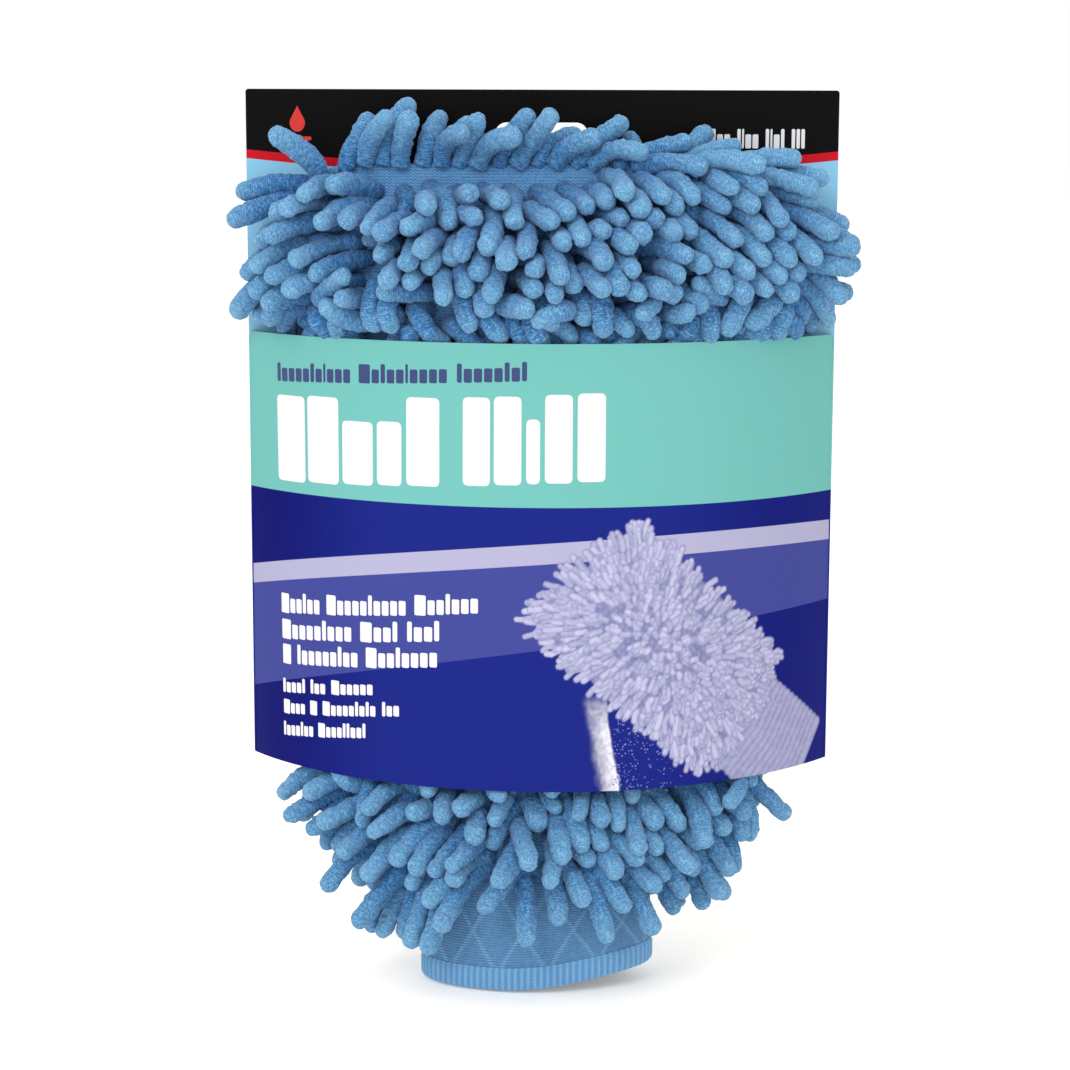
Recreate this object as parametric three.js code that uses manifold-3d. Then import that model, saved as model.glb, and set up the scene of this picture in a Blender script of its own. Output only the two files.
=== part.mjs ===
// Chenille wash mitt in its retail card sleeve.
// Millimetres, +Z up. The origin is the centre of the card's hang slot, on the card's flat back face.
// The printed front of the card faces -Y, and +X is on the right when it is seen from the front.
import * as THREE from "three";
import { mergeVertices } from "three/addons/utils/BufferGeometryUtils.js";
import Module from "manifold-3d";

const wasm = await Module();
wasm.setup();

// Card sleeve: a flat back and header, with a band that bulges forward round the mitt.
const CARD_WIDTH = 203;
const CARD_THICKNESS = 0.6;
const HEADER_TOP = 15;
const BAND_TOP = -68;
const BAND_BOTTOM = -218;
const BAND_BULGE = 50;
const BAND_STEPS = 28;
const SLOT_LENGTH = 31.75;
const SLOT_HEIGHT = 7.8;

// Room left between neighbouring solids, and between the mitt and the card.
const GAP = 0.4;
const CARD_ROOM = 0.9;

// Fabric of the mitt.
const FABRIC = 1.5;
const MITT_TOP = -10;
const WRIST = -249.5;
const SEAM_RADIUS = 0.9;
const SEAM_OFFSET = 1.7;

// Chenille pile: each row of fingers is one yarn, stitched across the fabric.
const FRONT_PILE_TOP = -22;
const PACKED_TOP = -67.4;
const BACK_PILE_TOP = -12;
const FREE_PILE = 21;
const SIDE_PILE = 24;
const PACKED_HALF_WIDTH = 82;
const BACK_FLARE = 4;
const WIDEST_PILE = 106;
const ROWS_IN_BAND = 13;
const ROWS_BELOW_BAND = 3;
const FRONT_ROWS_ABOVE_BAND = 4;
const BACK_ROWS_ABOVE_BAND = 5;
const COMB_TOP = 14;
const COMB_HALF_WIDTH = 68;
const COMB_DEPTH = 17;

// Knitted cuff.
const CUFF_HALF_WIDTH = 39.5;
const CUFF_HALF_DEPTH = 20;
const CUFF_CENTRE_Y = -25;
const CUFF_TOP = -252.9;
const CUFF_WALL = 2;
const HEM_TOP = -282.5;
const HEM_BOTTOM = -291;
const HEM_PLY = 1.2;
const HEM_PROUD = 0.8;
const ELASTIC_THICKNESS = 1.2;
const CUFF_STEPS = 40;

// The mitt's fabric body, station by station: height, half width, depth of its side edges, depth of its
// front and back at the middle, and how round the section is (2 is a slim lens, 1 an ellipse).
const STATIONS = [
  { z: MITT_TOP, half: 62, edge: -16.2, front: -18, back: -14.4, power: 2 },
  { z: -14, half: 70, edge: -16.2, front: -20, back: -14.4, power: 2 },
  { z: FRONT_PILE_TOP, half: 77, edge: -16.2, front: -25, back: -14.4, power: 2 },
  { z: -33.35, half: 81, edge: -16.2, front: -30, back: -14.4, power: 2 },
  { z: -44.7, half: 82, edge: -16.2, front: -33, back: -14.4, power: 2 },
  { z: -56.05, half: 80, edge: -16.2, front: -34, back: -14.4, power: 2 },
  { z: PACKED_TOP, half: 74, edge: -16.2, front: -34, back: -14.4, power: 2 },
  { z: -79, half: 70, edge: -16.2, front: -34, back: -14.4, power: 2 },
  { z: -125.3, half: 69, edge: -16.2, front: -34, back: -14.4, power: 2 },
  { z: -171.7, half: 69, edge: -16.2, front: -34, back: -14.4, power: 2 },
  { z: -206.4, half: 69, edge: -16.2, front: -34, back: -14.4, power: 2 },
  { z: BAND_BOTTOM, half: 69, edge: -16.2, front: -34, back: -14.4, power: 2 },
  { z: -228.5, half: 64, edge: -18, front: -37, back: -12, power: 1.8 },
  { z: -239, half: 53, edge: -22, front: -42, back: -8, power: 1.4 },
  { z: WRIST, half: 40, edge: CUFF_CENTRE_Y, front: -45, back: -5, power: 1 },
];

// Colours and finishes.
const material = (name, color, roughness) => new THREE.MeshStandardMaterial({ name, color, roughness });
const CARD = material("printed_card", 0x35b5ab, 0.35);
const PILE = material("chenille", 0x5c9bd6, 0.95);
const KNIT = material("knit_backing", 0x4f92d0, 0.9);
const CUFF = material("cuff_knit", 0x5a9fd6, 0.85);
const THREAD = material("thread", 0x4a8ac8, 0.8);
const ELASTIC = material("elastic", 0xe8e8e8, 0.9);

const lerp = THREE.MathUtils.lerp;
const QUARTER_TURN = Math.PI / 2;

// Turns a closed three.js geometry into a manifold-3d solid.
function solidOf(geometry) {
  const bare = geometry.clone();
  bare.deleteAttribute("normal");
  bare.deleteAttribute("uv");
  const merged = mergeVertices(bare, 1e-4);
  const vertProperties = new Float32Array(merged.getAttribute("position").array);
  const triVerts = new Uint32Array(merged.index.array);
  return new wasm.Manifold(new wasm.Mesh({ numProp: 3, vertProperties, triVerts }));
}

// Turns a manifold-3d solid back into a three.js geometry.
function geometryOf(solid) {
  const { vertProperties, triVerts } = solid.getMesh();
  const geometry = new THREE.BufferGeometry();
  geometry.setAttribute("position", new THREE.BufferAttribute(vertProperties, 3));
  geometry.setIndex(new THREE.BufferAttribute(triVerts, 1));
  geometry.computeVertexNormals();
  return geometry;
}

// The radius of an arc over a chord of this width that rises by this height.
const arcRadius = (width, rise) => (width * width) / (8 * rise) + rise / 2;
const BAND_RADIUS = arcRadius(CARD_WIDTH, BAND_BULGE);

// The D-shaped outline between the flat back and the bulging front, inset by the card's thickness.
function sleeveOutline(inset, type) {
  const centreY = BAND_RADIUS - BAND_BULGE;
  const radius = BAND_RADIUS - inset;
  const reach = Math.asin(Math.sqrt(radius ** 2 - (centreY + inset) ** 2) / radius);
  const outline = new type();
  for (let step = 0; step <= BAND_STEPS; step++) {
    const angle = lerp(-reach, reach, step / BAND_STEPS);
    const x = radius * Math.sin(angle);
    const y = centreY - radius * Math.cos(angle);
    if (step === 0) outline.moveTo(x, y);
    else outline.lineTo(x, y);
  }
  outline.closePath();
  return outline;
}

// The room in front of the flat back, inside the band, at a distance x from the middle.
function channelDepth(x) {
  const centreY = BAND_RADIUS - BAND_BULGE;
  return Math.sqrt((BAND_RADIUS - CARD_THICKNESS) ** 2 - x * x) - centreY;
}

// The flat header with its hang slot, drawn in x and z.
function headerGeometry() {
  const half = CARD_WIDTH / 2;
  const shape = new THREE.Shape();
  shape.moveTo(-half, BAND_TOP - 1);
  shape.lineTo(half, BAND_TOP - 1);
  shape.lineTo(half, HEADER_TOP);
  shape.lineTo(-half, HEADER_TOP);
  shape.closePath();
  const round = SLOT_HEIGHT / 2;
  const straight = SLOT_LENGTH / 2 - round;
  const slot = new THREE.Path();
  slot.absarc(straight, 0, round, -QUARTER_TURN, QUARTER_TURN, false);
  slot.absarc(-straight, 0, round, QUARTER_TURN, 3 * QUARTER_TURN, false);
  slot.closePath();
  shape.holes.push(slot);
  const options = { depth: CARD_THICKNESS, bevelEnabled: false, curveSegments: 8 };
  return new THREE.ExtrudeGeometry(shape, options).rotateX(QUARTER_TURN);
}

function cardSleeveGeometry() {
  const section = sleeveOutline(0, THREE.Shape);
  section.holes.push(sleeveOutline(CARD_THICKNESS, THREE.Path));
  const tube = new THREE.ExtrudeGeometry(section, { depth: BAND_TOP - BAND_BOTTOM, bevelEnabled: false });
  tube.translate(0, 0, BAND_BOTTOM);
  return geometryOf(solidOf(tube).add(solidOf(headerGeometry())));
}

// The fabric body's section at a height, between the stations above and below it.
function bodyAt(z) {
  const clamped = THREE.MathUtils.clamp(z, WRIST, MITT_TOP);
  const below = STATIONS.findIndex((station, i) => i > 0 && station.z <= clamped);
  const upper = STATIONS[below - 1];
  const lower = STATIONS[below];
  const share = (upper.z - clamped) / (upper.z - lower.z);
  const between = (key) => lerp(upper[key], lower[key], share);
  return {
    half: between("half"),
    edge: between("edge"),
    front: between("front"),
    back: between("back"),
    power: between("power"),
  };
}

// A point on the body's front or back, at an angle of -90 to 90 degrees from its middle, moved outward.
function bodyPoint(z, angle, side, outward) {
  const body = bodyAt(z);
  const rise = Math.max(0, Math.cos(angle)) ** body.power;
  const middle = side === "front" ? body.front - outward : body.back + outward;
  return new THREE.Vector3(
    (body.half + outward) * Math.sin(angle),
    lerp(body.edge, middle, rise),
    z,
  );
}

// A box of the given segments whose vertices are placed by a function of across (-1 to 1), depth (0 at
// the front, 1 at the back) and up (0 to 1).
function mappedBox(columns, levels, place) {
  const geometry = new THREE.BoxGeometry(1, 1, 1, columns, 1, levels);
  const position = geometry.getAttribute("position");
  for (let i = 0; i < position.count; i++) {
    const point = place(2 * position.getX(i), position.getY(i) + 0.5, position.getZ(i) + 0.5);
    position.setXYZ(i, point.x, point.y, point.z);
  }
  geometry.computeVertexNormals();
  return geometry;
}

// Evenly spaced heights from top to bottom.
const heights = (top, bottom, count) =>
  Array.from({ length: count + 1 }, (_, i) => lerp(top, bottom, i / count));

// The heights between the rows of pile on one side of the mitt.
function rowBounds(pileTop, rowsAbove) {
  return [
    ...heights(pileTop, PACKED_TOP, rowsAbove),
    ...heights(PACKED_TOP, BAND_BOTTOM, ROWS_IN_BAND).slice(1),
    ...heights(BAND_BOTTOM, WRIST, ROWS_BELOW_BAND).slice(1),
  ];
}

const FRONT_BOUNDS = rowBounds(FRONT_PILE_TOP, FRONT_ROWS_ABOVE_BAND);
const BACK_BOUNDS = rowBounds(BACK_PILE_TOP, BACK_ROWS_ABOVE_BAND);
const PANEL_COLUMNS = 16;

// One of the two fabric panels, a curved sheet from the top seam to the wrist.
function panelGeometry(side, bounds) {
  const levels = [...bounds, ...STATIONS.map((station) => station.z)];
  const sorted = [...new Set(levels.map((z) => Number(z.toFixed(1))))].sort((a, b) => a - b);
  const apart = side === "front" ? -GAP / 2 : GAP / 2;
  return mappedBox(PANEL_COLUMNS, sorted.length - 1, (across, depth, up) => {
    const z = sorted[Math.round(up * (sorted.length - 1))];
    const outside = side === "front" ? 1 - depth : depth;
    const point = bodyPoint(z, across * QUARTER_TURN, side, lerp(-FABRIC, 0, outside));
    point.y += apart;
    return point;
  });
}

// How far the pile reaches to the side at a height.
function pileHalfWidth(z) {
  if (z >= PACKED_TOP) return bodyAt(z).half + SIDE_PILE;
  return Math.min(PACKED_HALF_WIDTH, bodyAt(z).half + SIDE_PILE);
}

const EDGE_SHARE = 0.8;
const PILE_COLUMNS = 20;
const SEAM_ROOM = 1.3;

// The pile's inner face: it follows the fabric and then runs on, beside the seam, past its edge.
function pileInside(z, across, side) {
  const reach = Math.abs(across) / EDGE_SHARE;
  const away = side === "front" ? -1 : 1;
  const body = bodyAt(z);
  if (reach <= 1) {
    const angle = Math.sign(across) * reach * QUARTER_TURN;
    const point = bodyPoint(z, angle, side, GAP);
    point.y += away * lerp(GAP / 2, SEAM_ROOM, Math.sin(reach * QUARTER_TURN) ** 2);
    return point;
  }
  const beyond = (Math.abs(across) - EDGE_SHARE) / (1 - EDGE_SHARE);
  const x = lerp(body.half + GAP, pileHalfWidth(z), beyond);
  return new THREE.Vector3(Math.sign(across) * x, body.edge + away * SEAM_ROOM, z);
}

// The front pile's outer face: pressed against the band inside it, and free above it.
function frontPileOutside(z, across, packed) {
  const x = pileHalfWidth(z) * Math.sin(across * QUARTER_TURN);
  if (packed) return new THREE.Vector3(x, CARD_ROOM - channelDepth(x), z);
  const body = bodyAt(z);
  const side = body.edge - SEAM_ROOM - GAP;
  const y = lerp(side, body.front - FREE_PILE, Math.max(0, Math.cos(across * QUARTER_TURN)));
  return new THREE.Vector3(x, y, z);
}

// The back pile's outer face: flat against the card.
function backPileOutside(z, across) {
  const half = Math.min(pileHalfWidth(z) + BACK_FLARE, WIDEST_PILE);
  const x = half * Math.sin(across * QUARTER_TURN);
  return new THREE.Vector3(x, -CARD_THICKNESS - CARD_ROOM, z);
}

function frontRowGeometry(top, bottom) {
  const packed = top <= PACKED_TOP;
  return mappedBox(PILE_COLUMNS, 1, (across, depth, up) => {
    const z = lerp(bottom + GAP / 2, top - GAP / 2, up);
    if (depth > 0.5) return pileInside(z, across, "front");
    return frontPileOutside(z, across, packed);
  });
}

function backRowGeometry(top, bottom) {
  return mappedBox(PILE_COLUMNS, 1, (across, depth, up) => {
    const z = lerp(bottom + GAP / 2, top - GAP / 2, up);
    if (depth < 0.5) return pileInside(z, across, "back");
    return backPileOutside(z, across);
  });
}

// The fingers that stand up like a comb along the top edge.
function topEdgeRowGeometry() {
  const bottom = MITT_TOP + SEAM_OFFSET + SEAM_RADIUS + GAP;
  return mappedBox(8, 1, (across, depth, up) => {
    const lean = lerp(0.92, 1, up);
    const y = STATIONS[0].edge + COMB_DEPTH * lean * (depth - 0.5);
    return new THREE.Vector3(across * COMB_HALF_WIDTH * lean, y, lerp(bottom, COMB_TOP, up));
  });
}

// The overlocked seam that joins the panels, up one side, over the top and down the other.
function perimeterSeamGeometry() {
  const foot = WRIST + 2;
  const outline = [
    ...[0, 24, 48].map((x) => new THREE.Vector2(x, MITT_TOP)),
    ...STATIONS.slice(0, -1).map((station) => new THREE.Vector2(station.half, station.z)),
    new THREE.Vector2(bodyAt(foot).half, foot),
  ];
  const right = outline.map((point, i) => {
    const before = outline[Math.max(0, i - 1)];
    const after = outline[Math.min(outline.length - 1, i + 1)];
    const along = after.clone().sub(before).normalize();
    return point.clone().add(new THREE.Vector2(-along.y, along.x).multiplyScalar(SEAM_OFFSET));
  });
  const left = right.slice(1).reverse().map((point) => new THREE.Vector2(-point.x, point.y));
  const points = [...left, ...right].map((p) => new THREE.Vector3(p.x, bodyAt(p.y).edge, p.y));
  const path = new THREE.CatmullRomCurve3(points, false, "centripetal");
  const section = new THREE.Shape();
  section.absarc(0, 0, SEAM_RADIUS, 0, 2 * Math.PI);
  return new THREE.ExtrudeGeometry(section, { steps: 72, extrudePath: path, curveSegments: 4 });
}

// A ring of the cuff's oval shape, from a profile of points that close on themselves. A profile point's x
// is its distance outward from the cuff's outer face, and its y is its height.
function cuffRing(profile) {
  const base = 100;
  const turned = profile.map(([outward, z]) => new THREE.Vector2(base + outward, z));
  turned.push(turned[0].clone());
  const geometry = new THREE.LatheGeometry(turned, CUFF_STEPS).rotateX(QUARTER_TURN);
  const position = geometry.getAttribute("position");
  for (let i = 0; i < position.count; i++) {
    const x = position.getX(i);
    const y = position.getY(i);
    const outward = Math.hypot(x, y) - base;
    const angle = Math.atan2(y, x);
    position.setXYZ(
      i,
      (CUFF_HALF_WIDTH + outward) * Math.cos(angle),
      CUFF_CENTRE_Y + (CUFF_HALF_DEPTH + outward) * Math.sin(angle),
      position.getZ(i),
    );
  }
  geometry.computeVertexNormals();
  return geometry;
}

function wristSeamGeometry() {
  const height = (WRIST + CUFF_TOP) / 2;
  const corners = 8;
  const profile = Array.from({ length: corners }, (_, i) => {
    const angle = (2 * Math.PI * i) / corners;
    return [SEAM_RADIUS * Math.cos(angle) - CUFF_WALL / 2, height + SEAM_RADIUS * Math.sin(angle)];
  });
  return cuffRing(profile);
}

function cuffKnitGeometry() {
  return cuffRing([
    [0, HEM_TOP + GAP],
    [0, CUFF_TOP],
    [-CUFF_WALL, CUFF_TOP],
    [-CUFF_WALL, HEM_TOP + GAP],
  ]);
}

// The hem is folded up inside itself, with a channel between its plies for the elastic.
function cuffHemGeometry() {
  const channel = ELASTIC_THICKNESS + 2 * GAP;
  const outer = HEM_PROUD;
  const inner = HEM_PROUD - 2 * HEM_PLY - channel;
  return cuffRing([
    [outer, HEM_BOTTOM + HEM_PLY],
    [outer, HEM_TOP],
    [outer - HEM_PLY, HEM_TOP],
    [outer - HEM_PLY, HEM_BOTTOM + HEM_PLY],
    [inner + HEM_PLY, HEM_BOTTOM + HEM_PLY],
    [inner + HEM_PLY, HEM_TOP],
    [inner, HEM_TOP],
    [inner, HEM_BOTTOM + HEM_PLY],
    [inner + HEM_PLY / 2, HEM_BOTTOM],
    [outer - HEM_PLY / 2, HEM_BOTTOM],
  ]);
}

function cuffElasticGeometry() {
  const outer = HEM_PROUD - HEM_PLY - GAP;
  const inner = outer - ELASTIC_THICKNESS;
  const bottom = HEM_BOTTOM + HEM_PLY + GAP;
  return cuffRing([
    [outer, bottom],
    [outer, HEM_TOP - GAP],
    [inner, HEM_TOP - GAP],
    [inner, bottom],
  ]);
}

const part = new THREE.Group();
const sleeve = new THREE.Group();
const mitt = new THREE.Group();
part.add(sleeve, mitt);

function piece(group, name, geometry, finish) {
  const mesh = new THREE.Mesh(geometry, finish);
  mesh.name = name;
  group.add(mesh);
}

function rows(group, prefix, bounds, geometryOfRow) {
  for (let i = 0; i + 1 < bounds.length; i++) {
    const name = prefix + String(i + 1).padStart(2, "0");
    piece(group, name, geometryOfRow(bounds[i], bounds[i + 1]), PILE);
  }
}

piece(sleeve, "card_sleeve", cardSleeveGeometry(), CARD);
piece(mitt, "front_panel", panelGeometry("front", FRONT_BOUNDS), KNIT);
piece(mitt, "back_panel", panelGeometry("back", BACK_BOUNDS), KNIT);
piece(mitt, "perimeter_seam", perimeterSeamGeometry(), THREAD);
piece(mitt, "wrist_seam", wristSeamGeometry(), THREAD);
piece(mitt, "cuff_knit", cuffKnitGeometry(), CUFF);
piece(mitt, "cuff_hem", cuffHemGeometry(), CUFF);
piece(mitt, "cuff_elastic", cuffElasticGeometry(), ELASTIC);
piece(mitt, "top_edge_row", topEdgeRowGeometry(), PILE);
rows(mitt, "front_row_", FRONT_BOUNDS, frontRowGeometry);
rows(mitt, "back_row_", BACK_BOUNDS, backRowGeometry);

export default part;
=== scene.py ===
"""A chenille wash mitt in its printed card sleeve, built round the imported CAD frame."""
import math
from itertools import product

import bpy
import numpy as np
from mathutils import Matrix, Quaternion, Vector
from mathutils.bvhtree import BVHTree
from mathutils.geometry import tessellate_polygon


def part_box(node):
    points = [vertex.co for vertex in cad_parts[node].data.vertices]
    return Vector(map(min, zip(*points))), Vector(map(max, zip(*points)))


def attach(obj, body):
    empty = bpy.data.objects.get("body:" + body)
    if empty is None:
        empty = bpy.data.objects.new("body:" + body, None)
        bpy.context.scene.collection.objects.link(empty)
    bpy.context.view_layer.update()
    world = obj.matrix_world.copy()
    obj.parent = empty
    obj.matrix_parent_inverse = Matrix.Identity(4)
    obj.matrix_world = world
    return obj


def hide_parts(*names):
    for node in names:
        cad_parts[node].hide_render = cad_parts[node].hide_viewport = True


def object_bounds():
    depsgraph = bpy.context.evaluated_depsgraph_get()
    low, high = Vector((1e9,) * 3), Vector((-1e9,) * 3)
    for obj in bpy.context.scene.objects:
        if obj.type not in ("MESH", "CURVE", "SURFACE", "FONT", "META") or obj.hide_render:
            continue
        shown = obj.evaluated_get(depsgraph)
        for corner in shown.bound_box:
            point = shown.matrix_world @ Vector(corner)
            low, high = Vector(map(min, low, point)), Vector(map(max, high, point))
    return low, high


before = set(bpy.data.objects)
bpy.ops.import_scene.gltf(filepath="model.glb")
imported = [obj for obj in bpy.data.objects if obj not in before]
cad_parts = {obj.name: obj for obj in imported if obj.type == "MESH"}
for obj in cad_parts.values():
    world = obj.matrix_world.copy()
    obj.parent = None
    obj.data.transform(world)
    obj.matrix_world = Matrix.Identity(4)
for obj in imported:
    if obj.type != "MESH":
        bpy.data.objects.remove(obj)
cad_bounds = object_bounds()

MM = 0.001


# ---------------------------------------------------------------- sizes, in millimetres, from the frame

def box_mm(node):
    low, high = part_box(node)
    return np.array(low) / MM, np.array(high) / MM


CARD_LOW, CARD_HIGH = box_mm("card_sleeve")
CARD_HALF = CARD_HIGH[0]
CARD_T = 0.6
BAND_TOP = -68.0
BAND_BOTTOM = CARD_LOW[2]
BULGE_TOP = -CARD_LOW[1] - 4.0
BULGE_BOTTOM = -CARD_LOW[1] + 3.0
SLOT_LENGTH = 31.75
SLOT_HEIGHT = 7.8
FLOOR_Z = cad_bounds[0][2] / MM - 0.6

FINGER_LENGTH = 28.0
FINGER_RADIUS = 3.5
FINGER_NODES = 8
CONTACT_RADIUS = 3.2
CARD_CLEARANCE = 4.2
EDGE_REACH = 12.0


# ---------------------------------------------------------------- small helpers

def lerp(a, b, t):
    return a + (b - a) * t


def smooth(low, high, x):
    t = np.clip((x - low) / (high - low), 0.0, 1.0)
    return t * t * (3.0 - 2.0 * t)


def unit(v):
    return v / np.maximum(np.linalg.norm(v, axis=-1, keepdims=True), 1e-9)


def spaced(low, high, step):
    return np.linspace(low, high, max(2, int(round((high - low) / step)) + 1))


class Noise:
    """Smooth value noise on a wrapping lattice, the same on every run."""

    def __init__(self, seed, size=32):
        self.size = size
        self.table = np.random.default_rng(seed).uniform(-1.0, 1.0, (size, size, size))

    def __call__(self, points, scale):
        q = points / scale
        cell = np.floor(q).astype(int)
        f = q - cell
        f = f * f * (3.0 - 2.0 * f)
        total = np.zeros(points.shape[:-1])
        for corner in product((0, 1), repeat=3):
            x, y, z = np.moveaxis((cell + corner) % self.size, -1, 0)
            wx, wy, wz = (f[..., k] if upper else 1 - f[..., k] for k, upper in enumerate(corner))
            total += wx * wy * wz * self.table[x, y, z]
        return total


NOISE = Noise(7)


def make_piece(name, verts, faces, uvs=None, attributes=None, materials=(), smooth_faces=True):
    """A mesh object from millimetre vertices. uvs is one pair per face corner."""
    mesh = bpy.data.meshes.new(name)
    verts = np.asarray(verts, dtype=np.float64) * MM
    if isinstance(faces, np.ndarray):
        count, corners = faces.shape
        mesh.vertices.add(len(verts))
        mesh.vertices.foreach_set("co", verts.astype(np.float32).ravel())
        mesh.loops.add(count * corners)
        mesh.loops.foreach_set("vertex_index", faces.astype(np.int32).ravel())
        mesh.polygons.add(count)
        mesh.polygons.foreach_set("loop_start", np.arange(0, count * corners, corners, dtype=np.int32))
        mesh.update(calc_edges=True)
    else:
        mesh.from_pydata([tuple(v) for v in verts], [], faces)
    if uvs is not None:
        layer = mesh.uv_layers.new(name="UVMap")
        layer.data.foreach_set("uv", np.asarray(uvs, dtype=np.float32).ravel())
    for key, values in (attributes or {}).items():
        values = np.asarray(values, dtype=np.float32)
        kind, field = ("FLOAT", "value") if values.ndim == 1 else ("FLOAT_COLOR", "color")
        mesh.attributes.new(key, kind, "POINT").data.foreach_set(field, values.ravel())
    mesh.validate()
    mesh.shade_smooth() if smooth_faces else mesh.shade_flat()
    for material in materials:
        mesh.materials.append(material)
    obj = bpy.data.objects.new(name, mesh)
    bpy.context.scene.collection.objects.link(obj)
    return obj


def grid_faces(rows, columns, wrap=False):
    """Quads of a grid of vertices stored row by row. A wrapping grid closes round its columns."""
    r, c = np.meshgrid(np.arange(rows - 1), np.arange(columns if wrap else columns - 1), indexing="ij")
    low, high = r * columns, (r + 1) * columns
    nxt = (c + 1) % columns
    return np.stack([low + c, low + nxt, high + nxt, high + c], -1).reshape(-1, 4)


def joined(parts):
    """One set of vertices and faces from pairs of both."""
    starts = np.cumsum([0] + [len(verts) for verts, _ in parts])
    faces = np.concatenate([faces + start for (_, faces), start in zip(parts, starts)])
    return np.concatenate([verts for verts, _ in parts]), faces


def settle(obj, body, slot, *nodes):
    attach(obj, body)
    if nodes:
        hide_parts(*nodes)


# ---------------------------------------------------------------- the mitt's fabric, read from the frame

class Fabric:
    """The outer faces of the two fabric panels: where they are at any height and side position."""

    STEPS = 60

    def __init__(self):
        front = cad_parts["front_panel"].data
        points = np.array([v.co for v in front.vertices]) / MM
        self.levels = np.unique(np.round(points[:, 2], 2))
        self.halves = np.array([
            np.abs(points[np.abs(points[:, 2] - z) < 0.02, 0]).max() for z in self.levels
        ])
        self.top = self.levels[-1]
        self.bottom = self.levels[0]
        self.share = np.linspace(-1, 1, 2 * self.STEPS + 1)
        self.heights = np.linspace(self.bottom, self.top, 2 * self.STEPS + 1)
        self.front = self.scan("front_panel", -1.0)
        self.back = self.scan("back_panel", 1.0)

    def scan(self, node, side):
        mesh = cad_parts[node].data
        mesh.calc_loop_triangles()
        tree = BVHTree.FromPolygons(
            [v.co / MM for v in mesh.vertices], [tuple(t.vertices) for t in mesh.loop_triangles]
        )
        grid = np.full((len(self.heights), len(self.share)), np.nan)
        for i, z in enumerate(self.heights):
            z = min(max(z, self.bottom + 0.05), self.top - 0.05)
            half = self.half(z)
            for j, u in enumerate(self.share):
                start = Vector((u * half * 0.995, side * 200.0, z))
                hit = tree.ray_cast(start, Vector((0, -side, 0)))[0]
                if hit is not None:
                    grid[i, j] = hit.y
            row = grid[i]
            good = ~np.isnan(row)
            grid[i] = np.interp(self.share, self.share[good], row[good])
        return grid

    def half(self, z):
        return np.interp(z, self.levels, self.halves)

    def depth(self, grid, x, z):
        """The face's y at x and z, held at its edge beyond it."""
        u = np.clip(x / self.half(z), -1, 1) * self.STEPS + self.STEPS
        rise = (np.clip(z, self.bottom, self.top) - self.bottom) / (self.top - self.bottom)
        v = rise * 2 * self.STEPS
        iu = np.clip(u.astype(int), 0, 2 * self.STEPS - 1)
        iv = np.clip(v.astype(int), 0, 2 * self.STEPS - 1)
        fu, fv = u - iu, v - iv
        low = lerp(grid[iv, iu], grid[iv, iu + 1], fu)
        high = lerp(grid[iv + 1, iu], grid[iv + 1, iu + 1], fu)
        return lerp(low, high, fv)

    def at(self, side, x, z):
        """The y of the front (-1) or back (+1) face at one place."""
        grid = self.front if side < 0 else self.back
        return float(self.depth(grid, np.array([x]), np.array([z]))[0])


FABRIC = Fabric()


# ---------------------------------------------------------------- the card's band

def band_bulge(z):
    return lerp(BULGE_TOP, BULGE_BOTTOM, np.clip((BAND_TOP - z) / (BAND_TOP - BAND_BOTTOM), 0, 1))


def band_radius(bulge):
    return CARD_HALF ** 2 / (2 * bulge) + bulge / 2


def band_point(share, z, inset=0.0):
    """A point on the band's outer face: share runs from -1 to 1 along its arc."""
    bulge = band_bulge(z)
    radius = band_radius(bulge)
    angle = share * np.arcsin(CARD_HALF / radius)
    x = (radius - inset) * np.sin(angle)
    y = radius - bulge - (radius - inset) * np.cos(angle)
    return np.stack(np.broadcast_arrays(x, y, z), -1)


def band_distance(p):
    """(signed distance outside the band's outer face, outward direction in the horizontal plane)."""
    bulge = band_bulge(p[..., 2])
    radius = band_radius(bulge)
    away = np.stack([p[..., 0], p[..., 1] - (radius - bulge), np.zeros_like(radius)], -1)
    reach = np.linalg.norm(away, axis=-1)
    return reach - radius, away / np.maximum(reach, 1e-6)[..., None]


# ---------------------------------------------------------------- chenille fingers: roots and directions

class Fingers:
    """All fingers as chains of points: where they start, which way they set off, how long they are."""

    def __init__(self):
        self.root, self.way, self.length, self.row, self.side = [], [], [], [], []

    def add(self, root, way, length, row, side):
        self.root.append(root)
        self.way.append(way)
        self.length.append(length)
        self.row.append(row)
        self.side.append(side)

    def freeze(self):
        self.root = np.array(self.root)
        self.way = unit(np.array(self.way))
        self.length = np.array(self.length)
        self.row = np.array(self.row)
        self.side = np.array(self.side)


def spread(rng, half, spacing, phase):
    """Positions across a row, evenly spaced and a little shaken."""
    count = max(3, int(2 * half / spacing) + phase)
    x = np.linspace(-half, half, count) if phase else (np.arange(count) + 0.5) / count * 2 * half - half
    return x + rng.normal(0, 0.7, count)


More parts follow.
